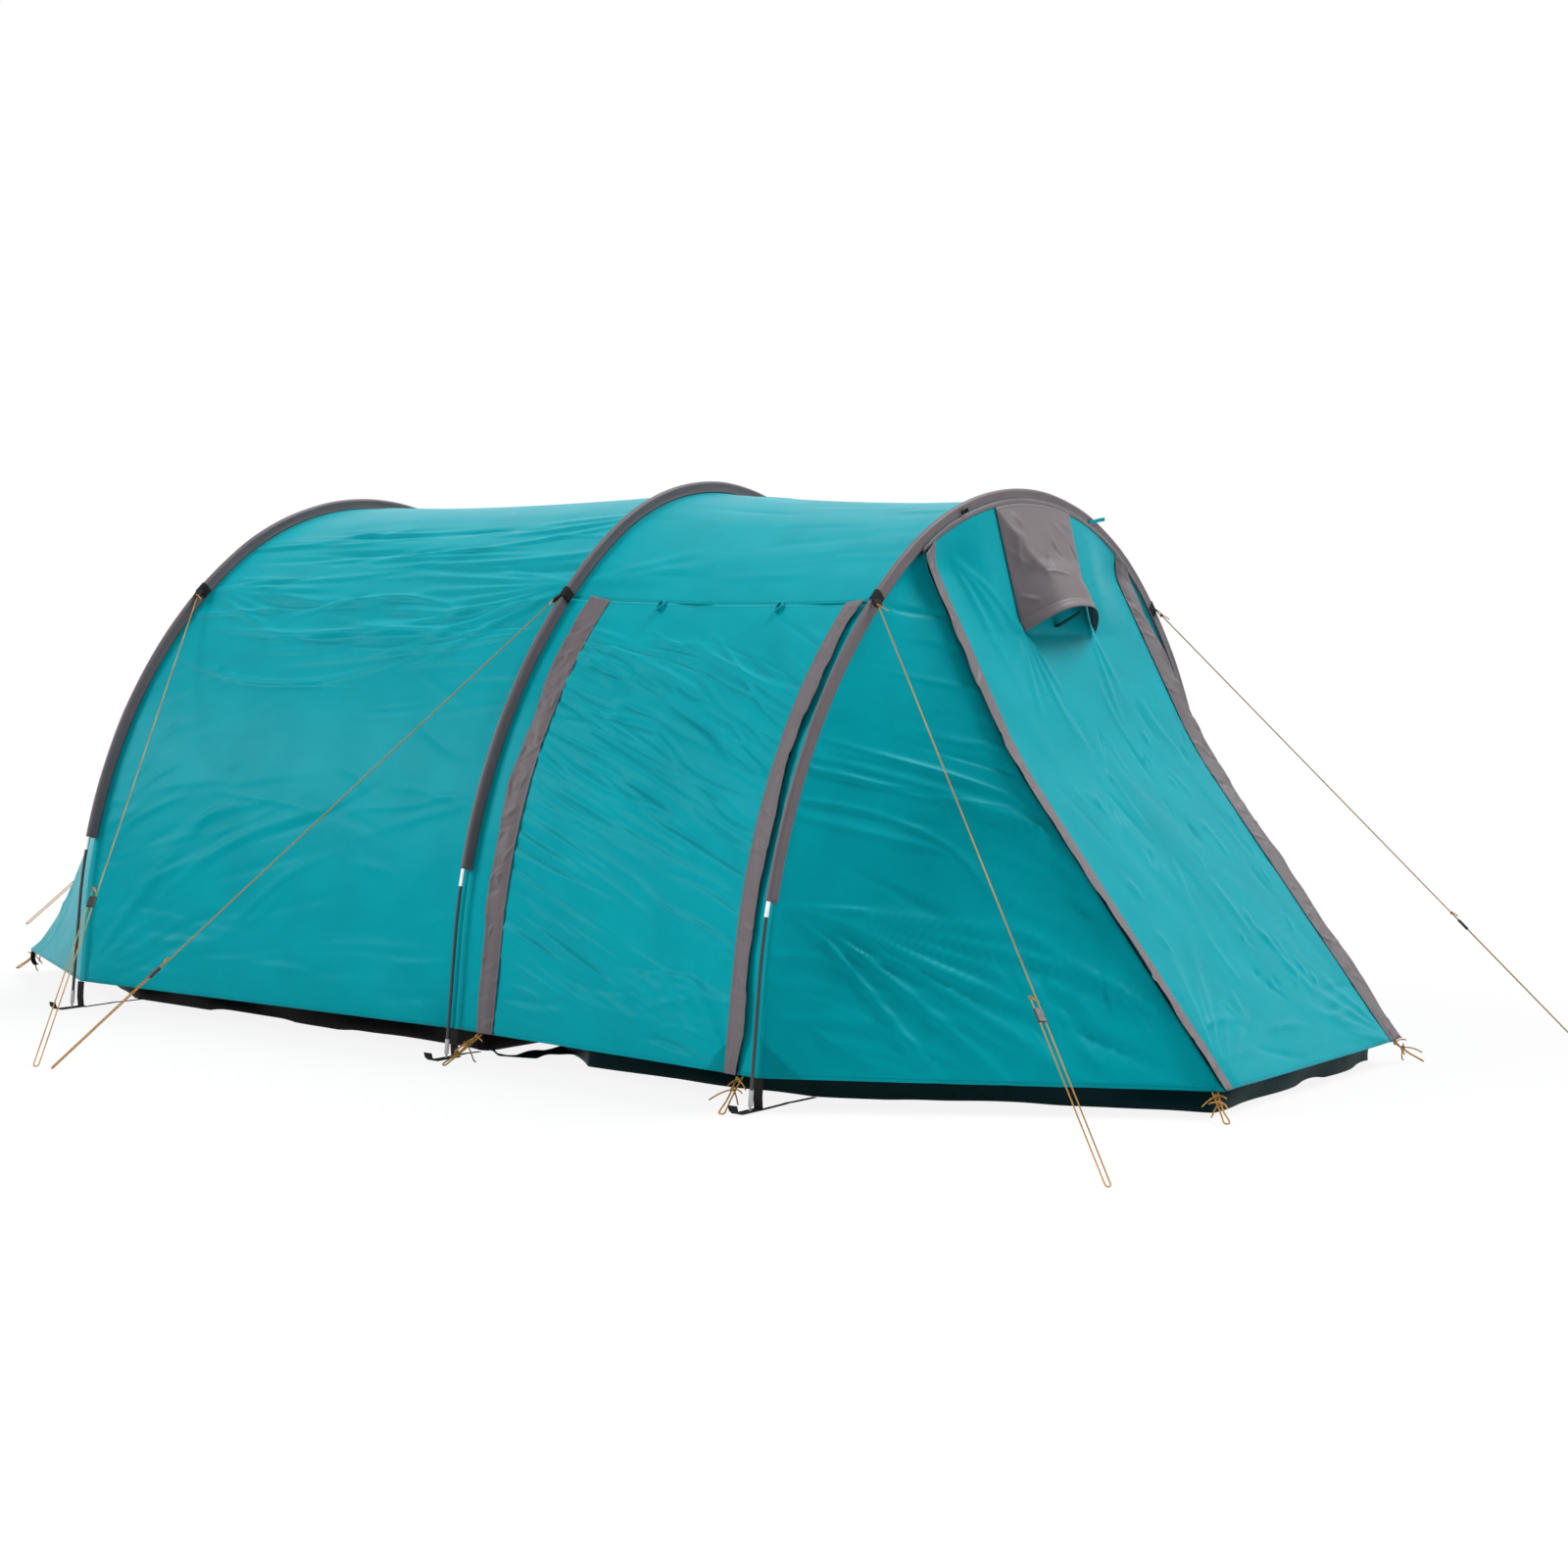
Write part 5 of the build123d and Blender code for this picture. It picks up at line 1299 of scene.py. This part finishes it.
class TENT_OT_inner_tent(bpy.types.Operator):
    """Cabin inside the rear bay, with its door"""

    bl_idname = "tent.inner_tent"
    bl_label = "Inner tent"

    def execute(self, context):
        rise = TUB + CLEAR
        rear = PoleLine(FLOOR_END_HALF, END_HEIGHT - TUB - INNER_DROP)
        front = PoleLine(FLOOR_MID_HALF, MID_HEIGHT - TUB - INNER_DROP)

        def walls(u, v):
            y0, z0 = rear.place(v * rear.length, -0.0004)
            y1, z1 = front.place(v * front.length, -0.0004)
            x = X_REAR + (X_INNER - X_REAR) * u
            return spots(x, y0 + (y1 - y0) * u, rise + z0 + (z1 - z0) * u)

        def sag(u, v):
            return -0.02 * 4 * u * (1 - u) * off_edges(v, 0.1)

        def wall_folds(u, v):
            a, s = u * 1.3, v * 3.2
            waves = 0.004 * pulls(a, s, 0.05, 0.5, 0.09, 211) + 0.003 * crumple(a, s, 0.16, 214)
            return sag(u, v) + waves * (off_edges(u, 0.06) * off_edges(v, 0.03))

        cabin = drape("cabin_wall_cloth", walls, (70, 170), wall_folds)
        dress(cabin, "tent", ["inner_cabin_walls"], "cabin_cloth")
        declare_cloth(cabin)

        def rear_wall(u, v):
            y, z = rear.place(v * rear.length, -0.0004)
            arch = spots(X_REAR, y, rise + z)
            hem = spots(X_REAR_HEM + FLOOR_REAR_INSET, (2 * v - 1) * FLOOR_REAR_HALF, rise)
            return hem + (arch - hem) * u[:, None]

        def rear_folds(u, v):
            waves = 0.004 * pulls(u * 0.9, v * 3.2, 0.2, 0.4, 0.1, 221)
            return sag(u, v) + waves * (off_edges(u, 0.06) * off_edges(v, 0.03))

        end = drape("cabin_rear_cloth", rear_wall, (50, 120), rear_folds)
        dress(end, "tent", ["inner_rear_panel"], "cabin_cloth")
        declare_cloth(end)
        self.front_wall(front, rise)
        self.door()
        return {"FINISHED"}

    def front_wall(self, line, rise):
        """Wall towards the porch, open at the doorway."""
        inner, middle = doorway(0.0)
        s = np.linspace(0, line.length, 241)
        y, z = line.place(s)
        foot = np.stack([np.linspace(y[-1], y[0], 60), np.full(60, rise)], -1)
        outline = np.concatenate([np.stack([y, z + rise], -1), foot[1:]])
        count = 200
        inside, outside = spread(inner, middle, count), spread(outline, middle, count)

        def place(u, v):
            near, far = (walk(u * count, range(count + 1), ring) for ring in (inside, outside))
            spot = far + (near - far) * v[:, None]
            wave = 0.004 * pulls(spot[:, 0], spot[:, 1], 1.4, 0.4, 0.1, 231) * np.sin(pi * v)
            return spots(X_INNER + 0.0016 - np.abs(wave), spot[:, 0], spot[:, 1])

        wall = drape("cabin_front_cloth", place, (count, 34), weld=True, edge=False)
        dress(wall, "tent", ["inner_front_wall"], "cabin_cloth")
        declare_cloth(wall)

    def door(self):
        """Door leaf over the doorway."""
        outline, middle = doorway(INNER_DOOR_LAP)
        count = 120
        rim = spread(outline, middle, count)

        def place(u, v):
            edge = walk(u * count, range(count + 1), rim)
            spot = middle + (edge - middle) * np.maximum(1 - v, 0.0004)[:, None]
            wave = 0.003 * pulls(spot[:, 0], spot[:, 1], 1.2, 0.35, 0.09, 241)
            wave = wave * smooth(v / 0.2) * smooth((1 - v) / 0.1)
            return spots(X_INNER + 0.0040 + np.abs(wave), spot[:, 0], spot[:, 1])

        leaf = drape("cabin_door_cloth", place, (count, 40), weld=True, edge=False)
        dress(leaf, "inner_door", ["inner_door_panel"], "cabin_cloth")
        declare_cloth(leaf)


def ribbon(name, points, width, across, thick, cells=40):
    """Flat strap along a line of points, its width along one direction."""
    points = np.array(points, float)
    marks = marks_along(points)
    across = np.array(across, float)

    def place(u, v):
        return walk(v * marks[-1], marks, points) + across * ((u - 0.5) * width)[:, None]

    return drape(name, place, (6, cells), thick=thick)


class TENT_OT_ground_straps(bpy.types.Operator):
    """Webbing and elastics at the arch feet and the rear corners"""

    bl_idname = "tent.ground_straps"
    bl_label = "Ground straps"

    def execute(self, context):
        straps, bands = [], []
        for name, x in ARCHES.items():
            line = pole_line(x)
            shift = FLOOR_JOINT + 0.012 if name == "middle" else 0.0
            floor = FLOOR_MID_HALF if name == "middle" else FLOOR_END_HALF
            for way in (-1, 1):
                straps.append(self.foot_strap(x, line, way))
                inner, outer = floor - 0.001, line.half_width - STRAP_IN
                middle = (inner + outer) / 2
                hump = ((middle + 0.02, 0.001), (middle, 0.0018), (middle - 0.02, 0.001))
                points = [(x - shift, way * y, 0.0016 + h) for y, h in ((outer, 0.0), *hump, (inner, 0.0))]
                bands.append(ribbon("elastic", points, ELASTIC_WIDTH, (-way, 0, 0), 0.0012))
        feet = join("arch_foot_webbing", straps)
        dress(feet, "tent", ["arch_foot_straps"], "black_webbing")
        elastic = join("foot_elastic_bands", bands)
        dress(elastic, "tent", ["foot_elastics"], "black_webbing")
        corners = []
        for way in (-1, 1):
            y = way * (REAR_HALF_WIDTH - STRAP_WIDTH / 2)
            curve = ((0.0015, HEM - 0.001), (-0.002, 0.062), (-0.004, 0.050), (-0.001, 0.038), (0.006, 0.030),
                     (0.015, 0.027))
            points = [(X_REAR_HEM + x, y, z) for x, z in curve]
            corners.append(ribbon("corner", points, CORNER_WIDTH, (0, 1, 0), 0.002))
        corner = join("rear_corner_webbing", corners)
        dress(corner, "tent", ["rear_corner_straps"], "black_webbing")
        return {"FINISHED"}

    def foot_strap(self, x, line, way):
        """Strap on the ground from the elastic to the peg eye, with a branch up to the hem."""
        foot = line.half_width
        end = foot + STRAP_OUT
        flat_run = ((foot - STRAP_IN, 0), (foot, 0), (foot + PEG_EYE_OUT, 0))
        hook = ((end - 0.009, 0.002), (end + 0.002, 0.010), (end + 0.006, 0.022))
        ground = [(x, way * y, 0.0028 + h) for y, h in flat_run + hook]
        flat = ribbon("foot", ground, STRAP_WIDTH, (-way, 0, 0), 0.0024, 60)
        for y, radius in ((foot, 0.0035), (foot + PEG_EYE_OUT, 0.0045)):
            bpy.ops.object.select_all(action="DESELECT")
            spot = (x, way * y, 0.002)
            bpy.ops.mesh.primitive_cylinder_add(vertices=24, radius=radius, depth=0.02, location=spot)
            cutter = bpy.context.object
            apply_modifier(flat, "BOOLEAN", object=cutter, operation="DIFFERENCE", solver="EXACT")
            bpy.data.objects.remove(cutter)
        y_hem = -line.place(near_hem(line), SKIN)[0]
        branch_run = ((0.003, 0.0), (0.03, 0.003), (0.055, 0.002), (HEM - 0.001, 0.0))
        rise = [(x, way * (y_hem - 0.001 + b), z) for z, b in branch_run]
        branch = ribbon("branch", rise, STRAP_WIDTH, (-way, 0, 0), 0.0018)
        return join("foot_strap", [flat, branch])


class TENT_OT_tie_loops(bpy.types.Operator):
    """Cloth loops above the side door that hold it rolled up"""

    bl_idname = "tent.tie_loops"
    bl_label = "Tie loops"

    def execute(self, context):
        loops = []
        for share in TIE_SHARES:
            x = X_DOOR_REAR + SIDE_DOOR_WIDTH * share
            line = pole_line(x)
            seam = near_seam(line)
            sink = float(bay_slack(np.array([x]), np.array([1.0]))[0])
            points = []
            for turn in np.linspace(-0.93 * pi, 0.93 * pi, 25):
                drop = -0.016 - 0.018 * cos(turn)
                wide = 0.0085 * sin(turn) * (1 - 0.45 * cos(turn / 2) ** 2)
                y, z = line.place(seam + drop, SKIN + sink + 0.008 + 0.003 * cos(turn))
                points.append((x + wide - 0.1 * drop, float(y), float(z)))
            y, z = line.place(seam - 0.02, SKIN)
            y_out, z_out = line.place(seam - 0.02, SKIN + 1)
            loops.append(ribbon("tie", points, LOOP_WIDTH, (0, float(y_out - y), float(z_out - z)), 0.0032, 60))
        tie = join("door_tie_loop_cloth", loops)
        dress(tie, None, ["door_tie_loops"], "teal_cloth")
        y, z = line.place(seam + 0.004, SKIN)
        y_low, z_low = line.place(seam - 0.004, SKIN)
        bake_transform(tie)
        self.arch_tie("front_arch_tie_cloth", (0.3135, 1.4005), (0.384, 1.412), "teal_cloth", "fly_cloth")
        self.arch_tie("front_arch_toggle_loop", (-0.345, 1.3945), (-0.322, 1.4040), "black_webbing", "webbing")
        return {"FINISHED"}

    def arch_tie(self, name, start, end, finish, slot):
        """Short tie sewn to the front sleeve, that holds the front door rolled up."""
        start, end = Vector((0, *start)), Vector((0, *end))
        points = []
        for share, out in ((0, 0.0135), (0.25, 0.0155), (0.5, 0.0160), (0.75, 0.0170), (1, 0.0200)):
            spot = start.lerp(end, share)
            points.append((X_FRONT + out, spot.y, spot.z))
        across = (end - start).cross(Vector((1, 0, 0))).normalized()
        piece = ribbon(name, points, TIE_WIDTH, tuple(across), 0.0016)
        dress(piece, "tent", [], finish)


def nurbs_cord(name, points, diameter):
    """Round cord on one smooth open spline."""
    data = bpy.data.curves.new(name, "CURVE")
    data.dimensions = "3D"
    data.bevel_depth = diameter / 2
    data.bevel_resolution = 4
    data.resolution_u = 16
    data.use_fill_caps = True
    spline = data.splines.new("NURBS")
    spline.points.add(len(points) - 1)
    for point, place in zip(spline.points, points):
        point.co = (*place, 1)
    spline.order_u = 3
    spline.use_endpoint_u = True
    piece = bpy.data.objects.new(name, data)
    bpy.context.scene.collection.objects.link(piece)
    return piece


def knot(name, centre, along, size, diameter, tails=1, seed=1):
    """Tied knot with short tails, as a mesh."""
    along = Vector(along).normalized()
    turn = along.to_track_quat("Z", "Y").to_matrix()
    draw = np.random.default_rng(seed)
    parts = []
    ring = []
    for t in np.linspace(0, 2 * pi, 37)[:-1]:
        spot = Vector((sin(t) + 2 * sin(2 * t), cos(t) - 2 * cos(2 * t), -sin(3 * t) * 1.5)) * (size / 7)
        ring.append(Vector(centre) + turn @ spot)
    routes = [(ring, True)]
    for k in range(tails):
        swing = 2.1 * k + draw.uniform(0, 1.5)
        side = turn @ Vector((cos(swing), sin(swing), draw.uniform(-0.2, 0.8)))
        reach = size * draw.uniform(0.6, 1.3)
        curl = Vector((draw.uniform(-0.3, 0.3), draw.uniform(-0.3, 0.3), -0.45))
        shares = (0.2, 0.8, 1.5, 2.1, 2.6)
        tail = [Vector(centre) + side * (reach * q) + curl * (reach * q * q * 0.5) for q in shares]
        for spot in tail:
            spot.z = max(spot.z, diameter)
        routes.append((tail, False))
    for points, closed in routes:
        piece = nurbs_cord(name, points, diameter)
        spline = piece.data.splines[0]
        if closed:
            spline.use_endpoint_u = False
            spline.use_cyclic_u = True
        piece.data.bevel_resolution = 2
        piece.data.resolution_u = 4
        activate(piece)
        bpy.ops.object.convert(target="MESH")
        parts.append(bpy.context.object)
    whole = join(name, parts)
    activate(whole)
    bpy.ops.object.shade_smooth()
    return whole


class TENT_OT_guy_lines(bpy.types.Operator):
    """Guy lines with their tabs, knots and runners"""

    bl_idname = "tent.guy_lines"
    bl_label = "Guy lines"

    def execute(self, context):
        self.tabs = []
        for name, (peg_x, peg_out, share) in GUY_PEGS.items():
            line = pole_line(ARCHES[name])
            self.at = line.at_height(SEAM_HEIGHT + GUY_TAB_RISE, SLEEVE_OUT)
            y, z = line.place(self.at, SLEEVE_OUT)
            for side, way in SIDES:
                self.wrap(ARCHES[name], line, way)
                start = Vector((ARCHES[name], way * abs(float(y)), float(z)))
                self.guy(f"{name}_{side}", start, Vector((peg_x, way * peg_out, 0)), share)
        top = Vector((X_REAR, 0, END_HEIGHT + SKIN))
        start = top.lerp(Vector((X_REAR_HEM, 0, HEM)), GUY_TAIL_SHARE)
        self.guy("tail", start, Vector((X_REAR - GUY_TAIL_ALONG, 0, 0)), RUNNER_TAIL)
        tabs = join("guy_tab_webbing", self.tabs)
        dress(tabs, "tent", ["guy_tabs"], "black_webbing")
        return {"FINISHED"}

    def wrap(self, x, line, way):
        """Webbing round the sleeve behind a tab."""
        round_sleeve = [(0.0103, -0.021), (0.0098, -0.006), (0.0088, 0.004), (0.0055, 0.0085), (0.0, 0.0102)]
        points = []
        for a, b in round_sleeve + [(-a, b) for a, b in reversed(round_sleeve[:-1])]:
            y, z = line.place(self.at, b)
            points.append((x + a, way * abs(float(y)), float(z)))
        y, z = line.place(np.array([self.at - 0.01, self.at + 0.01]))
        along = Vector((0, -way * (y[1] - y[0]), z[1] - z[0])).normalized()
        self.tabs.append(ribbon("wrap", points, WRAP_WIDTH, tuple(along * -way), 0.0012))

    def guy(self, name, start, peg, share):
        """One line: from its tab down to the ground, round the peg's place and back up to its runner."""
        diameter = bpy.context.scene.tent_sizes.guy_dia
        bottom = peg + Vector((0, 0, GUY_LIFT))
        toward = (bottom - start).normalized()
        root = start + toward * GUY_TAB
        level = toward.cross(Vector((0, 0, 1))).normalized()
        runner = root + toward * ((bottom - root).length * share)
        back = level * (2 * GUY_TURN)
        near = toward * (6 * diameter)
        points = [root, bottom - near, bottom, bottom + back, bottom + back - near]
        points.append(runner - toward * GUY_TAIL + back)
        cord = nurbs_cord(f"guy_line_{name}_cord", points, diameter)
        knots = [
            knot(f"guy_knot_{name}", root - toward * 0.001, toward, 0.010, diameter, 1),
            knot(f"guy_stop_{name}", points[-1] - toward * 0.004, toward, 0.008, diameter, 1),
        ]
        dress(cord, "tent", [f"guy_line_{name}"], "amber_cord")
        for piece in knots:
            dress(piece, "tent", [], "amber_cord")
        out = level.cross(toward)
        half = [(0.016, 0.0015), (0.030, 0.0030), (0.040, 0.0032)]
        loop = half + [(0.0435, 0.0)] + [(a, -b) for a, b in reversed(half)]
        points = [tuple(start + toward * a + out * b) for a, b in loop]
        self.tabs.append(ribbon("tab", points, TAB_WIDTH, tuple(level), 0.0014))


class TENT_OT_peg_loops(bpy.types.Operator):
    """Amber cord loops at the corners and under the side door's zips"""

    bl_idname = "tent.peg_loops"
    bl_label = "Peg loops"

    def execute(self, context):
        rear_y = REAR_HALF_WIDTH - STRAP_WIDTH - PEG_SPREAD
        front_y = WING_EDGE + PEG_SPREAD
        front_x = X_FRONT_HEM - PEG_SPREAD - PEG_DIA
        gap = PEG_DIA / 2 + CLEAR
        loops = {
            "rear_near": (Vector((X_REAR_HEM + 0.002, -rear_y, HEM - gap)), Vector((-PEG_REAR, 0, 0))),
            "rear_far": (Vector((X_REAR_HEM + 0.002, rear_y, HEM - gap)), Vector((-PEG_REAR, 0, 0))),
            "front_near": (Vector((front_x, -front_y, FRONT_HEM - gap)), Vector((PEG_FRONT, -PEG_FRONT, 0))),
            "front_far": (Vector((front_x, front_y, FRONT_HEM - gap)), Vector((PEG_FRONT, PEG_FRONT, 0))),
        }
        for name, x, way in (("side_rear", MARGIN_REAR - ZIP, -1), ("side_front", MARGIN_FRONT + ZIP, 1)):
            edge = MARGIN_REAR if way < 0 else MARGIN_FRONT
            line = pole_line(edge)
            y = float(line.place(near_hem(line), SKIN)[0])
            loops[name] = (Vector((x, y, HEM - gap)), Vector((way * PEG_SIDE / 4, -PEG_SIDE, 0)))
        for name, (root, away) in loops.items():
            bottom = root + away
            bottom.z = GUY_LIFT
            toward = (bottom - root).normalized()
            level = toward.cross(Vector((0, 0, 1))).normalized()
            first, end = root - level * (PEG_SPREAD / 2), bottom - level * (PEG_SPREAD / 2)
            back = level * PEG_SPREAD
            near = toward * (3 * PEG_DIA)
            sag = Vector((0, 0, -0.005))
            down = [first, first.lerp(end, 0.45) + level * 0.005 + sag, end - near, end]
            up = [end + back, end + back - near, first.lerp(end, 0.5) + back * 0.75 + sag, first + back]
            points = down + up
            cord = nurbs_cord(f"peg_loop_{name}", points, PEG_DIA)
            dress(cord, "tent", ["peg_cords"], "amber_cord")
            spot, head = first.lerp(end, 0.35) + back / 2, first + back / 2 + toward * 0.012
            seed = 300 + 3 * len(name) + (name > "rear")
            ties = [knot(f"peg_knot_{name}", spot, toward, 0.014, 0.0036, 3, seed),
                    knot(f"peg_tie_{name}", head, toward, 0.012, 0.0036, 2, seed + 1)]
            for tie in ties:
                dress(tie, "tent", [], "amber_cord")
        return {"FINISHED"}


class TENT_OT_hardware(bpy.types.Operator):
    """Finishes of the poles, ferrules, tips, sliders, runners and the vent's prop"""

    bl_idname = "tent.hardware"
    bl_label = "Hardware"

    def execute(self, context):
        finishes = {
            "pole_ferrules": "drawn_steel", "pole_tips": "cast_tip", "pole_shock_cords": "pale_elastic",
            "vent_strut": "black_plastic", "inner_tent_toggles": "black_plastic",
        }
        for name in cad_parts:
            if name.endswith("_rods"):
                finishes[name] = "glass_fibre"
            elif name.startswith("guy_runner"):
                finishes[name] = "black_plastic"
            elif "slider" in name:
                finishes[name] = "black_metal"
        for name, finish in finishes.items():
            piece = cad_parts[name]
            piece.data.materials.clear()
            piece.data.materials.append(FINISH[finish])
        return {"FINISHED"}


CAMERA_PLACE = (4.5446, -5.9378, 1.1022)
FOCAL_PIXELS, PHOTO_PIXELS = 2675.0, 1600.0
CAMERA_YAW, CAMERA_PITCH, CAMERA_ROLL = radians(35.4496), radians(-3.4256), 0.0203


class TENT_OT_studio(bpy.types.Operator):
    """Pale floor, soft light and the photograph's camera"""

    bl_idname = "tent.studio"
    bl_label = "Studio"

    def execute(self, context):
        context.scene.view_settings.view_transform = "Standard"
        self.floor()
        self.surround(context.scene)
        self.lamp("key_light", 3.0, 30, (0.3, 0.5, 0.9))
        self.lamp("fill_light", 1.6, 22, (-0.6, -0.6, 0.5))
        self.camera(context.scene)
        return {"FINISHED"}

    def floor(self):
        """Pale floor that glows white to the camera and keeps the tent's shadow."""
        bpy.ops.object.select_all(action="DESELECT")
        bpy.ops.mesh.primitive_plane_add(size=120, location=(0, 0, -0.0006))
        floor = bpy.context.object
        floor.name = "studio_floor"
        pale = Recipe("pale_floor", (0.82, 0.82, 0.82), 0.85, specular=0.1)
        pale.shade(pale.noise(pale.object_place(), 3.0, 3.0), 0.99, 1.01)
        share = pale.sums("MULTIPLY", pale.in_sight(), 0.88)
        glow = pale.add("ShaderNodeEmission", {"Color": (1, 1, 1, 1), "Strength": 1.0})
        sides = {0: share, 1: pale.shader.outputs["BSDF"], 2: glow.outputs["Emission"]}
        mix = pale.add("ShaderNodeMixShader", sides)
        pale.tree.links.new(mix.outputs["Shader"], pale.tree.nodes["Material Output"].inputs["Surface"])
        floor.data.materials.append(FINISH["pale_floor"])

    def surround(self, scene):
        """Dim light from all sides, white to the camera and in what mirrors."""
        world = bpy.data.worlds.new("studio_light")
        scene.world = world
        world.use_nodes = True
        light = Nodes(world.node_tree)
        base = light.tree.nodes["Background"]
        base.inputs["Color"].default_value = (1, 1, 1, 1)
        base.inputs["Strength"].default_value = 0.22
        white = light.add("ShaderNodeBackground", {"Color": (1, 1, 1, 1), "Strength": 1.0})
        sides = {0: light.in_sight(), 1: base.outputs["Background"], 2: white.outputs["Background"]}
        mix = light.add("ShaderNodeMixShader", sides)
        light.tree.links.new(mix.outputs["Shader"], light.tree.nodes["World Output"].inputs["Surface"])

    def camera(self, scene):
        """The photograph's camera."""
        data = bpy.data.cameras.new("photo_camera")
        camera = bpy.data.objects.new("photo_camera", data)
        scene.collection.objects.link(camera)
        data.sensor_width = 36.0
        data.lens = data.sensor_width * FOCAL_PIXELS / PHOTO_PIXELS
        data.clip_end = 200.0
        yaw, pitch, roll = CAMERA_YAW, CAMERA_PITCH, CAMERA_ROLL
        ahead = Vector((-sin(yaw) * cos(pitch), cos(yaw) * cos(pitch), sin(pitch)))
        right = ahead.cross(Vector((0, 0, 1))).normalized()
        up = right.cross(ahead)
        across = right * cos(roll) + up * sin(roll)
        upright = up * cos(roll) - right * sin(roll)
        camera.matrix_world = Matrix((
            (across.x, upright.x, -ahead.x, CAMERA_PLACE[0]),
            (across.y, upright.y, -ahead.y, CAMERA_PLACE[1]),
            (across.z, upright.z, -ahead.z, CAMERA_PLACE[2]),
            (0, 0, 0, 1),
        ))
        scene.camera = camera

    def lamp(self, name, strength, spread_angle, towards):
        """Broad soft lamp that shines from a direction."""
        data = bpy.data.lights.new(name, "SUN")
        data.energy = strength
        data.angle = radians(spread_angle)
        lamp = bpy.data.objects.new(name, data)
        lamp.rotation_euler = Vector(towards).to_track_quat("Z", "Y").to_euler()
        bpy.context.scene.collection.objects.link(lamp)


OPERATORS = (
    TENT_OT_guy_lines, TENT_OT_peg_loops, TENT_OT_flysheet, TENT_OT_side_door, TENT_OT_front_door,
    TENT_OT_sleeves, TENT_OT_vent_hood, TENT_OT_floors, TENT_OT_inner_tent, TENT_OT_ground_straps,
    TENT_OT_tie_loops, TENT_OT_hardware, TENT_OT_studio,
)


class TENT_PT_panel(bpy.types.Panel):
    """Lists the tent's pieces, sizes and colours"""

    bl_idname = "TENT_PT_panel"
    bl_label = "Tunnel tent"
    bl_space_type = "VIEW_3D"
    bl_region_type = "UI"
    bl_category = "Tent"

    def draw(self, context):
        for operator in OPERATORS:
            self.layout.operator(operator.bl_idname)
        for group in (context.scene.tent_sizes, context.scene.tent_colours):
            for key in type(group).__annotations__:
                self.layout.prop(group, key)


CLASSES = (TentSizes, TentColours, *OPERATORS, TENT_PT_panel)


def register():
    for cls in CLASSES:
        bpy.utils.register_class(cls)
    bpy.types.Scene.tent_sizes = PointerProperty(type=TentSizes)
    bpy.types.Scene.tent_colours = PointerProperty(type=TentColours)


def unregister():
    del bpy.types.Scene.tent_colours
    del bpy.types.Scene.tent_sizes
    for cls in reversed(CLASSES):
        bpy.utils.unregister_class(cls)


def main():
    """Dress the whole tent."""
    register()
    build_finishes()
    for operator in OPERATORS:
        group, name = operator.bl_idname.split(".")
        getattr(getattr(bpy.ops, group), name)()
    bpy.context.view_layer.update()


if __name__ == "__main__":
    main()
